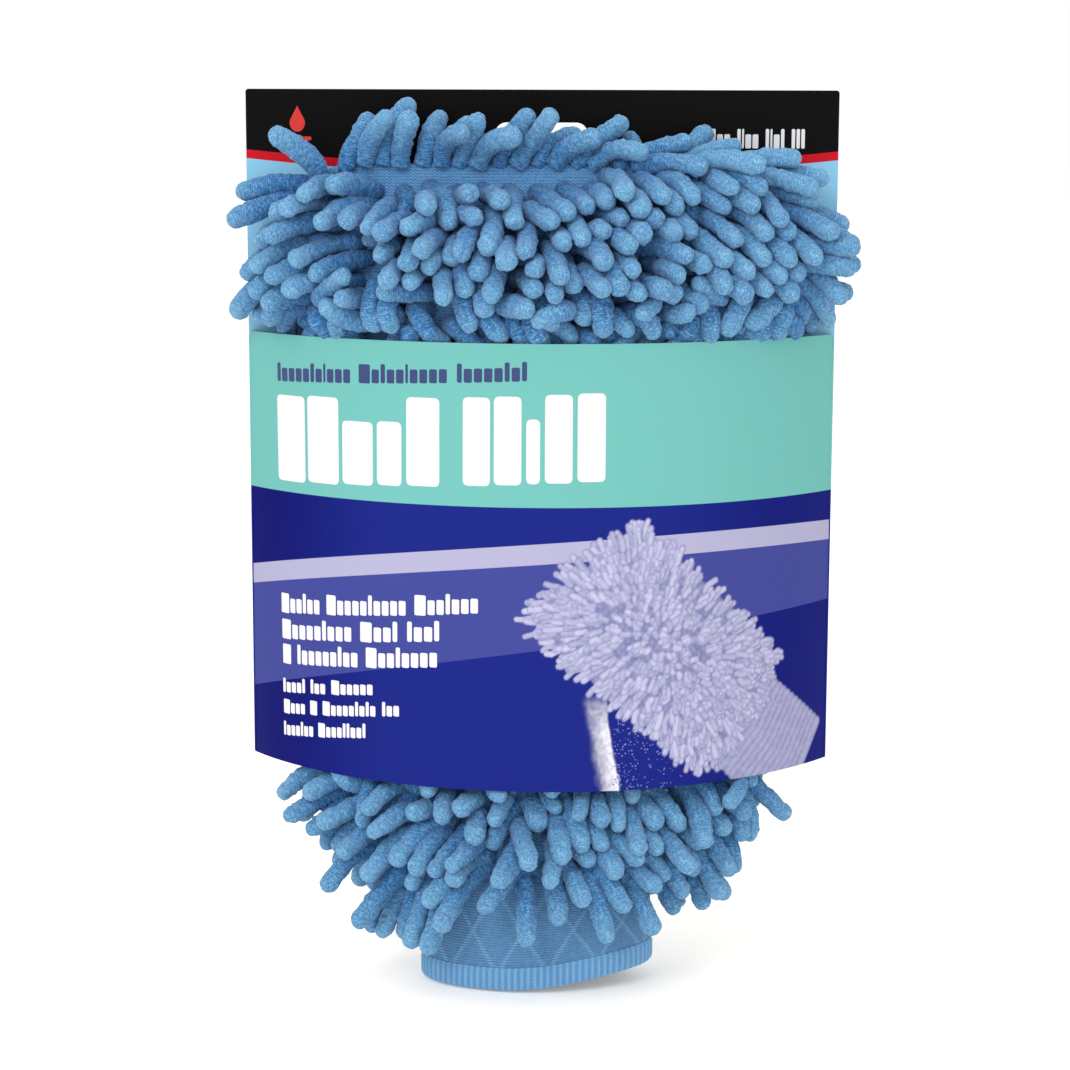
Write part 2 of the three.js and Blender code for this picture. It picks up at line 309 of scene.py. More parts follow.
def front_way(x, z, zone, rng):
    """Which way a front finger sets off: they burst outward from a point left of the middle."""
    u = x / FABRIC.half(z)
    shake = rng.normal(0, 0.2, 3)
    if zone == "above":
        aside = 0.25 * smooth(-30, 10, x) + 0.75 * smooth(22, 66, x) - smooth(-42, -70, x)
        droop = lerp(0.05, -0.62, smooth(-34, -17, z)) * (1 - abs(aside))
        rise = lerp(-0.34, 0.36, smooth(-36, -15, z)) if aside > 0 else 0.15 * (z + 40) / 24
        low = 0.5 * smooth(-50, -62, z) * (1 - abs(aside)) * np.sign(x + 32)
        way = np.array([1.9 * aside + low, -1.0 + 0.84 * abs(aside), droop + abs(aside) * rise])
    elif zone == "band":
        way = np.array([0.35 * u + 0.5 * np.sign(u) * abs(u) ** 3, -0.4, -1.0])
        shake = shake * 1.6
    else:
        v = (BAND_BOTTOM - z) / (BAND_BOTTOM - FABRIC.bottom)
        side = np.sign(u) * smooth(0.12, 0.92, abs(u))
        down = lerp(-0.35, -1.15, v) * (lerp(1.0, 0.45, -side) if side < 0 else lerp(1.0, 1.5, side))
        wide = (1.25 * u + 0.5 * side) * (1.0 if u < 0 else lerp(1.0, 0.78, side))
        way = np.array([wide, -0.62 + 0.4 * abs(side), down])
    return way + shake


def back_way(x, z, zone, rng):
    """Which way a finger of the back sets off: outward at the sides, and down."""
    u = x / FABRIC.half(z)
    side = np.sign(u) * smooth(0.45, 0.95, abs(u))
    shake = rng.normal(0, 0.16, 3)
    if zone == "above":
        v = np.clip((z + 12.0) / (BAND_TOP + 12.0), 0, 1)
        way = np.array([1.6 * side + 0.2 * u, 0.12, lerp(0.30, -0.25, v)])
    elif zone == "band":
        way = np.array([0.3 * u + 0.7 * side, 0.15, -1.0])
    else:
        v = (BAND_BOTTOM - z) / (BAND_BOTTOM - FABRIC.bottom)
        way = np.array([1.2 * u + 0.4 * side, 0.2, lerp(-0.5, -1.2, v)])
    return way + shake


def zone_of(z):
    if z > BAND_TOP:
        return "above"
    return "band" if z > BAND_BOTTOM else "below"


# Distances between neighbours in a line of fingers, by zone, and where a row has a single line.
SPACING = {"above": 9.8, "band": 10.5, "below": 10.2}
SINGLE_SPACING = 9.4
# Lines under the bare strip at the top edge: height, and how far left they reach.
UPPER_LINES = ((-18.5, -90.0), (-13.5, 14.0))
UPPER_SPACING = 9.0


def plant():
    """All the fingers, row by row, in the places of the frame's rows."""
    rng = np.random.default_rng(41)
    fingers = Fingers()
    for name in sorted(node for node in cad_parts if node.startswith(("front_row_", "back_row_"))):
        low, high = box_mm(name)
        zone = zone_of((low[2] + high[2]) / 2)
        side = -1 if name.startswith("front") else 1
        lines = 2 if zone == "below" or (zone == "above" and side < 0) else 1
        spacing = SPACING[zone] if lines == 2 else SINGLE_SPACING
        for line in range(lines):
            z = lerp(low[2], high[2], (line + 0.5) / lines)
            half = (FABRIC.half(z) - 1.0) * (0.84 if name == "back_row_01" else 1.0)
            for x in spread(rng, half, spacing, line % 2):
                plant_one(fingers, rng, np.clip(x, -half, half), z, zone, name, side)
    for z, left in UPPER_LINES:
        half = FABRIC.half(z) - 1.0
        for x in np.arange(-half, half, UPPER_SPACING):
            if x > left:
                plant_one(fingers, rng, x, z, "above", "front_row_01", -1)
    comb_roots(fingers, rng)
    wrist_corner(fingers, rng)
    right_shoulder(fingers, rng)
    fingers.freeze()
    return fingers


def plant_one(fingers, rng, x, z, zone, row, side):
    """One finger of a row. A slow noise turns neighbours the same way, so that the pile parts."""
    z = z + rng.normal(0, 0.5)
    y = FABRIC.at(side, x, z)
    way = unit((front_way if side < 0 else back_way)(x, z, zone, rng))
    parting = [float(NOISE(np.array([x, z, level]), 17.0)) for level in (3.0, 90.0)]
    swerve = 0.42 if side < 0 and zone != "band" else 0.2
    way = way + np.array([parting[0], 0.0, parting[1]]) * swerve
    length = FINGER_LENGTH * rng.uniform(0.78, 1.08) * (1.10 if abs(x) > 60 and zone == "above" else 1.0)
    if zone == "below" and side < 0:
        length *= lerp(1.0, lerp(1.12, 1.3, smooth(-232, -244, z)), smooth(-26.0, -42.0, x))
    fingers.add([x, y - side * 1.0, z], way, length, row, side)


COMB_COUNT = 24
COMB_ENDS = (-79.0, 70.0)
# How far the comb leans from upright, in degrees to the right, at places across the mitt.
LEAN_AT = (-79, -73, -68, -54, -30, 0, 14, 30)
LEAN = (-10, -32, 30, 0, 20, 28, 50, 82)


def comb_roots(fingers, rng):
    """The fingers along the top edge: they stand up on the left and lie over to the right."""
    upper = FABRIC.levels > -34.0
    halves, levels = FABRIC.halves[upper][::-1], FABRIC.levels[upper][::-1]
    for i in range(COMB_COUNT):
        x = lerp(*COMB_ENDS, i / (COMB_COUNT - 1)) + rng.normal(0, 0.6)
        swing = lerp(7.0, 2.0, smooth(10.0, 30.0, x)) if x > -70 else 0.0
        lean = np.interp(x, LEAN_AT, LEAN) + swing * math.sin(i * 2.4) + rng.normal(0, 0.5 * swing)
        lean = np.radians(lean)
        way = [math.sin(lean), rng.normal(-0.12, 0.10), math.cos(lean)]
        shoulder = float(np.interp(abs(x), halves, levels))
        length = FINGER_LENGTH * rng.uniform(0.72, 0.90) * (1.15 if x > 20 else 1.0)
        length *= 1.25 if i == 1 else 1.0
        depth = 2.0 * (i % 2) if x < 20 else 4.0 * (i % 3) - 3.0
        fingers.add([x, -16.2 - depth, shoulder - 0.5], way, length, "top_edge_row", 0)


def wrist_corner(fingers, rng):
    """Long fingers that hang past the left of the cuff."""
    z = FABRIC.bottom + 3.0
    for x in np.linspace(-44.0, -27.0, 5):
        way = [lerp(-0.9, -0.25, (x + 44.0) / 17.0) + rng.normal(0, 0.08), -0.35, -1.0]
        length = FINGER_LENGTH * rng.uniform(1.05, 1.25)
        fingers.add([x, FABRIC.at(-1, x, z) + 1.0, z], way, length, "front_row_20", -1)


def right_shoulder(fingers, rng):
    """Long fingers that stick out past the card's right edge, above the band."""
    for row in range(1, 5):
        name = f"front_row_{row:02d}"
        low, high = box_mm(name)
        for share in (0.3, 0.8):
            z = lerp(high[2], low[2], share)
            x = FABRIC.half(z) - 2.0
            forward = rng.normal(-0.22, 0.08)
            rise = lerp(0.16, -0.30, (row + share - 1) / 4) + rng.normal(0, 0.08)
            length = FINGER_LENGTH * rng.uniform(1.0, 1.18)
            fingers.add([x, FABRIC.at(-1, x, z) + 1.0, z], [1.0, forward, rise], length, name, -1)


# ---------------------------------------------------------------- chenille fingers: settling

def near_pairs(points, reach):
    """Index pairs of points closer than reach, by sorting them into cells."""
    cell = np.floor(points / reach).astype(np.int64)
    cell -= cell.min(0) - 1
    dims = cell.max(0) + 2
    key = (cell[:, 0] * dims[1] + cell[:, 1]) * dims[2] + cell[:, 2]
    order = np.argsort(key, kind="stable")
    sorted_key = key[order]
    first, second = [], []
    for dx, dy, dz in product((-1, 0, 1), repeat=3):
        shift = (dx * dims[1] + dy) * dims[2] + dz
        if shift < 0:
            continue
        start = np.searchsorted(sorted_key, key + shift, "left")
        end = np.searchsorted(sorted_key, key + shift, "right")
        for k in range(int((end - start).max(initial=0))):
            inside = start + k < end
            a = np.nonzero(inside)[0]
            b = order[start[inside] + k]
            keep = a < b if shift == 0 else a != b
            first.append(a[keep])
            second.append(b[keep])
    a, b = np.concatenate(first), np.concatenate(second)
    close = np.linalg.norm(points[a] - points[b], axis=1) < reach
    return a[close], b[close]


def keep_out_of_card(p, radius, clear):
    """Keeps points in front of the flat card, and behind the band or off its edges beyond it."""
    p[..., 1] = np.minimum(p[..., 1], -CARD_T - radius - 1.0)
    distance, outward = band_distance(p)
    beyond = np.maximum(np.maximum(p[..., 2] - BAND_TOP, BAND_BOTTOM - p[..., 2]) - 0.5, 0.0)
    slope = lerp(1.25, 2.3, smooth(CARD_HALF - 30, CARD_HALF - 10, np.abs(p[..., 0])))
    most = np.where(beyond < EDGE_REACH, beyond * slope, 99.0) - clear - CARD_T
    held = p[..., 1] < 1.0
    p -= outward * np.where(held, np.maximum(distance - most, 0.0), 0.0)[..., None]


def keep_out_of_fabric(p, side, radius):
    """Moves points off the fabric, to the side their finger grows on."""
    x, z = p[..., 0], p[..., 2]
    inside = (np.abs(x) < FABRIC.half(z)) & (z < FABRIC.top) & (z > FABRIC.bottom)
    front = FABRIC.depth(FABRIC.front, x, z) - radius
    back = FABRIC.depth(FABRIC.back, x, z) + radius
    p[..., 1] = np.where(inside & (side <= 0) & (p[..., 1] > front), front, p[..., 1])
    p[..., 1] = np.where(inside & (side > 0) & (p[..., 1] < back), back, p[..., 1])
    cuff = (z <= FABRIC.bottom) & (z > FLOOR_Z)
    low, high = box_mm("cuff_knit")
    centre, half = (low + high) / 2, (high - low) / 2 + radius * 1.5
    q = np.hypot((x - centre[0]) / half[0], (p[..., 1] - centre[1]) / half[1])
    scale = np.where(cuff & (q < 1), 1 / np.maximum(q, 0.05), 1.0)
    p[..., 0] = centre[0] + (x - centre[0]) * scale
    p[..., 1] = centre[1] + (p[..., 1] - centre[1]) * scale


class Settling:
    """Lets the fingers droop, bend and press on each other, the fabric and the card."""

    GRAVITY = np.array([0, 0, -0.016])
    DAMPING = 0.86
    CURL = 0.14
    # How firmly the stitched base keeps its direction, at its first two nodes.
    HOLDS = ((1, 0.7), (2, 0.25))
    STIFFNESS = 0.22
    PRESS = 0.45

    def __init__(self, fingers):
        count = len(fingers.root)
        self.fingers = fingers
        self.segment = fingers.length / (FINGER_NODES - 1)
        self.curl = np.random.default_rng(5).normal(0, self.CURL, (count, 3))
        self.curl[fingers.row == "top_edge_row"] *= 0.5
        self.side = fingers.side[:, None] * np.ones(FINGER_NODES)[None]
        node = np.arange(count * FINGER_NODES)
        self.owner, self.place = node // FINGER_NODES, node % FINGER_NODES
        along = np.linspace(0, 1, FINGER_NODES)[None, :, None]
        self.p = fingers.root[:, None] + fingers.way[:, None] * (along * fingers.length[:, None, None])
        packed = np.array([zone_of(z) == "band" for z in fingers.root[:, 2]])
        distance, outward = band_distance(self.p)
        press = np.maximum(distance + CARD_CLEARANCE + CARD_T, 0) * packed[:, None]
        self.p -= outward * press[..., None]

    def find_contacts(self):
        a, b = near_pairs(self.p.reshape(-1, 3), 2 * CONTACT_RADIUS + 1.5)
        free = (self.place[a] > 0) | (self.place[b] > 0)
        keep = (self.owner[a] != self.owner[b]) & free
        self.pairs = a[keep], b[keep]

    def hold_bases(self):
        for k, hold in self.HOLDS:
            goal = self.p[:, 0] + self.fingers.way * (self.segment * k)[:, None]
            self.p[:, k] += (goal - self.p[:, k]) * hold

    def bend(self):
        p = self.p
        for k in range(1, FINGER_NODES - 1):
            middle = (p[:, k - 1] + p[:, k + 1]) / 2 + self.curl * 0.9
            push = (middle - p[:, k]) * self.STIFFNESS
            p[:, k] += push
            p[:, k - 1] -= push / 2
            p[:, k + 1] -= push / 2

    def press_apart(self):
        flat = self.p.reshape(-1, 3)
        a, b = self.pairs
        gap = flat[b] - flat[a]
        reach = np.linalg.norm(gap, axis=1)
        rooted = (self.place[a] == 0) | (self.place[b] == 0)
        need = CONTACT_RADIUS * 2 * np.where(rooted, 0.8, 1.0)
        push = np.maximum(need - reach, 0) * self.PRESS
        move = gap / np.maximum(reach, 1e-6)[:, None] * push[:, None]
        total, hits = np.zeros_like(flat), np.zeros(len(flat))
        for end, way in ((a, -1), (b, 1)):
            np.add.at(total, end, way * move)
            np.add.at(hits, end, push > 0)
        flat += total / np.maximum(1.0, hits * 0.45)[:, None]

    def keep_lengths(self):
        p = self.p
        p[:, 0] = self.fingers.root
        for k in range(1, FINGER_NODES):
            span = p[:, k] - p[:, k - 1]
            size = np.linalg.norm(span, axis=1)
            p[:, k] = p[:, k - 1] + span * (self.segment / np.maximum(size, 1e-6))[:, None]

    def run(self, steps):
        before = self.p.copy()
        weight = self.GRAVITY * np.linspace(0.2, 1.0, FINGER_NODES)[None, :, None]
        for step in range(steps):
            velocity = (self.p - before) * self.DAMPING
            before = self.p.copy()
            self.p += velocity + weight
            if step % 4 == 0:
                self.find_contacts()
            for _ in range(2):
                self.hold_bases()
                self.bend()
                self.press_apart()
                keep_out_of_fabric(self.p[:, 1:], self.side[:, 1:], CONTACT_RADIUS * 0.95)
                keep_out_of_card(self.p[:, 1:], CONTACT_RADIUS + 0.5, CARD_CLEARANCE)
                self.keep_lengths()
        return self.p


# ---------------------------------------------------------------- chenille fingers: surfaces

def resample(chain, shares):
    """Points on smooth curves through the chains, at shares of each one's length."""
    n = chain.shape[1]
    before, after = 2 * chain[:, :1] - chain[:, 1:2], 2 * chain[:, -1:] - chain[:, -2:-1]
    padded = np.concatenate([before, chain, after], 1)
    q = shares * (n - 1)
    i = np.clip(q.astype(int), 0, n - 2)
    t = (q - i)[None, :, None]
    p0, p1, p2, p3 = (padded[:, i + k] for k in range(4))
    bend = (2 * p0 - 5 * p1 + 4 * p2 - p3) * t ** 2
    return 0.5 * (2 * p1 + (p2 - p0) * t + bend + (3 * p1 - p0 - 3 * p2 + p3) * t ** 3)


TIP_RINGS = 6
TIP_FROM = 0.86
# The sizes of the tufts in the pile's surface, in millimetres, with their heights.
TUFTS = ((0, 2.5, 0.42), (40, 1.15, 0.26), (70, 0.7, 0.13))
RIDGE, RIDGE_HEIGHT = 0.95, 0.20
TURN = 24.0


def finger_surface(chains, lengths, rings, sides, thickness, rng):
    """Rings of points round each finger, its two end points, and how far along it each ring is."""
    count = len(chains)
    body = np.linspace(0, TIP_FROM, rings - TIP_RINGS, endpoint=False)
    tip = TIP_FROM + (1 - TIP_FROM) * np.sin(np.linspace(0, math.pi / 2, TIP_RINGS))
    shares = np.concatenate([body, tip])
    centre = resample(chains, shares)
    tangent = unit(np.gradient(centre, axis=1))
    across = unit(np.cross(tangent, np.array([0.31, 0.72, 0.62])))
    other = np.cross(tangent, across)
    radius = FINGER_RADIUS * thickness * rng.uniform(0.92, 1.08, (count, 1))
    distance = shares[None] * lengths[:, None]
    from_tip = np.clip((lengths[:, None] - distance) / (radius * 1.05), 0, 1)
    dome = np.sqrt(np.clip(1 - (1 - from_tip) ** 2, 0, 1))
    neck = lerp(0.90, 1.0, smooth(0.0, 0.3, shares)) * lerp(1.0, 0.93, smooth(0.55, 1.0, shares))
    swell = 1 + 0.05 * np.sin(distance / 4.1 + rng.uniform(0, 6.28, (count, 1)))
    angle = np.linspace(0, 2 * math.pi, sides, endpoint=False)
    ring = across[:, :, None] * np.cos(angle)[:, None] + other[:, :, None] * np.sin(angle)[:, None]
    base = (radius * dome * neck[None] * swell)[..., None, None]
    rough = centre[:, :, None] + ring * base
    height = sum(NOISE(rough + shift, size) * tall for shift, size, tall in TUFTS)
    cloth = np.broadcast_arrays(distance[:, :, None], angle * 0.8, np.arange(count)[:, None, None] * 7.3)
    height = height + NOISE(np.stack(cloth, -1), RIDGE) * RIDGE_HEIGHT
    height = height * np.clip(dome * 1.4, 0, 1)[..., None]
    points = rough + ring * height[..., None]
    ends = np.stack([centre[:, 0] - tangent[:, 0] * 0.4, centre[:, -1] + tangent[:, -1] * 0.12], 1)
    return points, ends, distance


def finger_faces(count, rings, sides):
    """Quads round the fingers, and triangles over their two ends."""
    per = rings * sides
    quads = np.concatenate([grid_faces(rings, sides, True) + k * per for k in range(count)])[:, ::-1]
    k = np.arange(sides)
    nxt = (k + 1) % sides
    caps = []
    for f in range(count):
        first, last = f * per, f * per + (rings - 1) * sides
        end = np.full(sides, count * per + 2 * f)
        caps += [np.stack([first + nxt, first + k, end], -1), np.stack([last + k, last + nxt, end + 1], -1)]
    return quads, np.concatenate(caps)


def finger_mesh(name, chains, lengths, rings, sides, seed, thickness, shade_from):
    """One closed surface for each finger of a row, with its shares and tones for the material."""
    rng = np.random.default_rng(seed)
    count = len(chains)
    points, ends, distance = finger_surface(chains, lengths, rings, sides, thickness, rng)
    quads, caps = finger_faces(count, rings, sides)

    def at_points(on_rings, on_ends):
        on_rings = np.broadcast_to(on_rings, (count, rings, sides))
        return np.concatenate([on_rings.ravel(), np.broadcast_to(on_ends, (count, 2)).ravel()])

    around = at_points(np.arange(sides) / sides * TURN, 0.0)
    along = at_points(distance[:, :, None], np.stack([np.zeros(count), lengths], 1))
    share = at_points((distance / lengths[:, None])[:, :, None], np.array([0.0, 1.0]))
    # shade_from is where the tip share starts at the root: it lifts the material's painted root shade and
    # brings its painted tip highlight nearer the root.
    pale = np.broadcast_to(shade_from, count)[:, None]
    pale = at_points(pale[..., None], pale)
    tone = rng.uniform(0, 1, (count, 1))
    corners = np.concatenate([quads.ravel(), caps.ravel()])
    corner_u = around[corners]
    quad_u = corner_u[: quads.size].reshape(-1, 4)
    split = np.ptp(quad_u, axis=1) > TURN / 2
    quad_u[split] += np.where(quad_u[split] < TURN / 2, TURN, 0.0)
    verts = np.concatenate([points.reshape(-1, 3), ends.reshape(-1, 3)])
    uvs = np.stack([corner_u, along[corners]], -1)
    attributes = {"tip": pale + (1 - pale) * share, "tone": at_points(tone[..., None], tone)}
    return make_piece(name, verts, quads.tolist() + caps.tolist(), uvs, attributes, [CHENILLE])


# ---------------------------------------------------------------- materials

class Nodes:
    """Short ways to add and join shader nodes."""

    def __init__(self, name):
        self.material = bpy.data.materials.new(name)
        self.material.use_nodes = True
        self.tree = self.material.node_tree
        self.shader = self.tree.nodes["Principled BSDF"]

    def add(self, kind, inputs=None, **settings):
        node = self.tree.nodes.new(kind)
        for key, value in settings.items():
            setattr(node, key, value)
        for key, value in (inputs or {}).items():
            self.put(node.inputs[key], value)
        return node

    def put(self, socket, value):
        if hasattr(value, "outputs"):
            value = value.outputs[0]
        if isinstance(value, bpy.types.NodeSocket):
            self.tree.links.new(value, socket)
        else:
            socket.default_value = value

    def math(self, operation, a, b=0.0, c=0.0, clamp=False):
        node = self.add("ShaderNodeMath", operation=operation, use_clamp=clamp)
        for socket, value in zip(node.inputs, (a, b, c)):
            self.put(socket, value)
        return node

    def plus(self, first, *others, clamp=False):
        for other in others:
            first = self.math("ADD", first, other, clamp=clamp)
        return first

    def times(self, a, b):
        return self.math("MULTIPLY", a, b)

    def less(self, a, b):
        return self.math("SUBTRACT", a, b)

    def wave(self, value, per_mm, kind="COSINE"):
        return self.math(kind, self.times(value, 2 * math.pi * per_mm))

    def mix(self, share, a, b):
        node = self.add("ShaderNodeMix", data_type="RGBA")
        self.put(node.inputs["Factor"], share)
        self.put(node.inputs["A"], a)
        self.put(node.inputs["B"], b)
        return node.outputs["Result"]

    def ramp(self, value, low, high, to_low=0.0, to_high=1.0):
        ends = {"From Min": low, "From Max": high, "To Min": to_low, "To Max": to_high}
        node = self.add("ShaderNodeMapRange", ends, interpolation_type="SMOOTHSTEP")
        self.put(node.inputs["Value"], value)
        return node.outputs["Result"]

    def noise(self, vector, scale, detail, rough=0.5):
        inputs = {"Vector": vector, "Scale": scale, "Detail": detail, "Roughness": rough}
        return self.add("ShaderNodeTexNoise", inputs).outputs["Fac"]

    def fibre(self, scale, detail, rough=0.5):
        """Noise over the piece's own place."""
        return self.noise(self.add("ShaderNodeNewGeometry").outputs["Position"], scale, detail, rough)

    def attribute(self, name):
        return self.add("ShaderNodeAttribute", attribute_name=name).outputs

    def uv(self):
        """The surface's own lengths, across and up, in millimetres."""
        split = self.add("ShaderNodeSeparateXYZ", {"Vector": self.add("ShaderNodeUVMap").outputs[0]})
        return split.outputs[0], split.outputs[1]

    def bump(self, height, strength, distance):
        inputs = {"Height": height, "Strength": strength, "Distance": distance}
        self.put(self.shader.inputs["Normal"], self.add("ShaderNodeBump", inputs))

    def finish(self, colour, roughness, **inputs):
        inputs.update({"Base_Color": colour, "Roughness": roughness})
        for key, value in inputs.items():
            self.put(self.shader.inputs[key.replace("_", " ")], value)
        return self.material


STUDIO_LIGHT = 1.27


def srgb(r, g, b):
    """A surface colour that looks like this sRGB colour under the studio's light."""
    def linear(c):
        c /= 255.0
        return (c / 12.92 if c <= 0.04045 else ((c + 0.055) / 1.055) ** 2.4) / STUDIO_LIGHT
    return (linear(r), linear(g), linear(b), 1.0)


CLOTH = {"Sheen_Weight": 0.2, "Sheen_Roughness": 0.5, "Specular_IOR_Level": 0.2}
BACKING = {"Sheen_Weight": 0.2, "Sheen_Roughness": 0.5, "Specular_IOR_Level": 0.15}
PILE = {"Sheen_Weight": 0.16, "Sheen_Roughness": 0.45, "Specular_IOR_Level": 0.12}


def chenille_material():
    """Wound courses and strands, darker towards the root with painted shade and lighter at the tip with a
    painted highlight and painted glints.
    """
    n = Nodes("chenille_pile")
    uv = n.add("ShaderNodeUVMap")

    def wound(around, along):
        stretched = n.add("ShaderNodeMapping", {"Vector": uv, "Scale": (around, along, 1.0)})
        return n.noise(stretched, 1.0, 2.0, 0.6)

    courses, strands = wound(0.36, 1.7), wound(0.85, 3.6)
    tufts = n.fibre(900.0, 2.0, 0.6)
    tip, tone = n.attribute("tip")["Fac"], n.attribute("tone")["Fac"]
    speck = n.plus(n.times(tufts, 0.30), n.times(courses, 0.45), n.times(strands, 0.25))
    # The fleck of courses, strands and tufts, with a painted highlight growing towards the tip.
    light = n.plus(n.times(n.ramp(speck, 0.41, 0.62), 0.58), n.ramp(tip, 0.55, 1.0, 0.0, 0.36))
    light = n.plus(light, n.times(n.less(tone, 0.5), 0.20), clamp=True)
    colour = n.mix(light, srgb(44, 110, 174), srgb(131, 193, 233))
    # Painted shade: darker towards the root, where the fingers shade each other.
    colour = n.mix(n.ramp(tip, 0.0, 0.46, 0.42, 1.0), srgb(26, 68, 126), colour)
    # Painted glints: pale strands near the tip.
    painted_glint = n.times(n.ramp(strands, 0.55, 0.68), n.ramp(tip, 0.30, 1.0, 0.14, 0.78))
    colour = n.mix(painted_glint, colour, srgb(184, 222, 244))
    n.bump(n.plus(n.times(courses, 0.6), n.times(tufts, 0.35), n.times(strands, 0.35)), 0.9, 0.0010)
    return n.finish(colour, 0.92, **PILE)


def knit_material(name, dark, light, across, up):
    """A fine plain knit: across and up are its stitches per millimetre."""
    n = Nodes(name)
    x, z = n.uv()
    leg = n.math("PINGPONG", n.times(x, across), 0.5)
    rows = n.wave(n.plus(n.times(z, up), n.times(leg, 1.1)), 1.0, "SINE")
    weave = n.plus(n.times(rows, 0.32), n.times(n.fibre(1100.0, 2.0), 1.1))
    n.bump(weave, 0.7, 0.0004)
    return n.finish(n.mix(n.ramp(weave, 0.0, 1.1), dark, light), 0.9, **BACKING)


def plain_material(name, colour, roughness, grain=0.0, scale=900.0, fleck=0.86):
    n = Nodes(name)
    fibre = n.fibre(scale, 3.0)
    dark = tuple(c * fleck for c in colour[:3]) + (1.0,)
    n.bump(fibre, 0.3, grain * MM)
    return n.finish(n.mix(n.ramp(fibre, 0.3, 0.7), dark, colour), roughness)


def hem_material():
    """A ribbed knit with a line of paler stitches down every rib."""
    n = Nodes("ribbed_hem")
    s, z = n.uv()
    rib = n.wave(s, RIBS / even_angles(8)[2])
    rows = n.wave(z, 1 / 1.2, "SINE")
    fibre = n.fibre(1500.0, 2.0)
    colour = n.mix(n.ramp(n.plus(rib, fibre), -0.6, 1.6), srgb(99, 156, 207), srgb(122, 178, 223))
    stitch = n.times(n.ramp(rib, 0.55, 0.95), n.ramp(n.plus(rows, fibre), 0.0, 0.7))
    colour = n.mix(n.times(stitch, 0.6), colour, srgb(144, 194, 230))
    n.bump(n.plus(n.times(rows, 0.35), n.times(fibre, 0.7)), 0.6, 0.00035)
    return n.finish(colour, 0.9, **CLOTH)


def cuff_material():
    """Fine courses, with the trellis of the cuff's pattern a little paler."""
    n = Nodes("cuff_knit_cloth")
    s, z = n.uv()
    stitches = n.math("MULTIPLY_ADD", n.wave(s, 1 / 1.25), 0.35, 0.65)
    rows = n.times(n.wave(z, 1 / COURSE), stitches)
    weave = n.plus(n.times(rows, 0.4), n.times(n.fibre(900.0, 3.0), 1.2))
    colour = n.mix(n.ramp(weave, 0.0, 1.2), srgb(74, 123, 172), srgb(104, 156, 200))
    across = n.times(s, TRELLIS / even_angles(8)[2])
    for way in (1, -1):
        phase = n.math("MULTIPLY_ADD", z, way / TRELLIS_RISE, across)
        off = n.math("ABSOLUTE", n.less(phase, n.math("ROUND", phase)))
        line = n.ramp(off, 0.06, 0.025, 0.0, 0.75)
        colour = n.mix(n.times(line, n.ramp(rows, -0.4, 0.6)), colour, srgb(140, 192, 228))
    n.bump(weave, 0.5, 0.0003)
    return n.finish(colour, 0.9, **CLOTH)


# ---------------------------------------------------------------- fabric panels, seams and cuff

def shell(name, outer, inner, uv, material, flip):
    """A closed sheet between two grids of points of the same size."""
    rows, columns = outer.shape[:2]
    count = rows * columns
    index = np.arange(count).reshape(rows, columns)
    loop = np.concatenate([index[0, :-1], index[:-1, -1], index[-1, :0:-1], index[:0:-1, 0]])
    nxt = np.roll(loop, -1)
    walls = np.stack([nxt, loop, loop + count, nxt + count], -1)
    quads = grid_faces(rows, columns)
    faces = np.concatenate([quads, quads[:, ::-1] + count, walls])
    faces = faces[:, ::-1] if flip else faces
    verts = np.concatenate([outer.reshape(-1, 3), inner.reshape(-1, 3)])
    uvs = np.concatenate([uv.reshape(-1, 2)] * 2)
    return make_piece(name, verts, faces, uvs[faces.ravel()], materials=[material])


PILE_PITCH = 5.675


def panel_piece(name, node, side):
    """One knitted panel, pulled in a little where each line of pile is stitched."""
    grid = FABRIC.front if side < 0 else FABRIC.back
    uu, zz = np.meshgrid(np.linspace(-1, 1, 131), spaced(FABRIC.bottom, FABRIC.top, 1.2))
    x = uu * FABRIC.half(zz)
    outer = FABRIC.depth(grid, x, zz)
    rise = np.abs(outer - FABRIC.depth(grid, FABRIC.half(zz), zz))
    soft = smooth(0.0, 1.5, rise)
    pull = 0.25 * (1 + np.cos(2 * math.pi * zz / PILE_PITCH)) * soft
    pull = pull + NOISE(np.stack([x, zz, np.full(x.shape, 5.0)], -1), 13.0) * 0.5 * soft
    y = outer - side * pull
    thick = np.clip(0.12 + 0.9 * rise, 0.12, 1.1)
    top = np.stack([x, y, zz], -1)
    under = np.stack([x, y - side * thick, zz], -1)
    obj = shell(name, top, under, np.stack([x, zz], -1), PANEL_KNIT, flip=side > 0)
    settle(obj, "mitt", "knit_backing", node)


def tube_points(line, radius, sides, guide):
    """Rings of points round a line, turned by a guide direction at each of its points."""
    tangent = unit(np.gradient(line, axis=0))
    across = unit(np.cross(tangent, guide))
    other = np.cross(tangent, across)
    angle = np.linspace(0, 2 * math.pi, sides, endpoint=False)
    ring = across[:, None] * np.cos(angle)[:, None] + other[:, None] * np.sin(angle)[:, None]
    return line[:, None] + ring * radius


def tube_faces(count, sides, closed):
    faces = grid_faces(count + 1 if closed else count, sides, True)
    return faces % (count * sides) if closed else faces


def even_line(line, step, closed):
    """The same line with points at even distances along it."""
    if closed:
        line = np.concatenate([line, line[:1]])
    length = np.concatenate([[0], np.cumsum(np.linalg.norm(np.diff(line, axis=0), axis=1))])
    count = int(length[-1] / step)
    at = np.linspace(0, length[-1], count, endpoint=not closed)
    return np.stack([np.interp(at, length, line[:, k]) for k in range(3)], -1), at


STITCH_PITCH = 1.55
STITCH_RADIUS = 0.72
THREAD_RADIUS = 0.30
CORE_RADIUS = 0.6
SEAM_OUT = 1.7


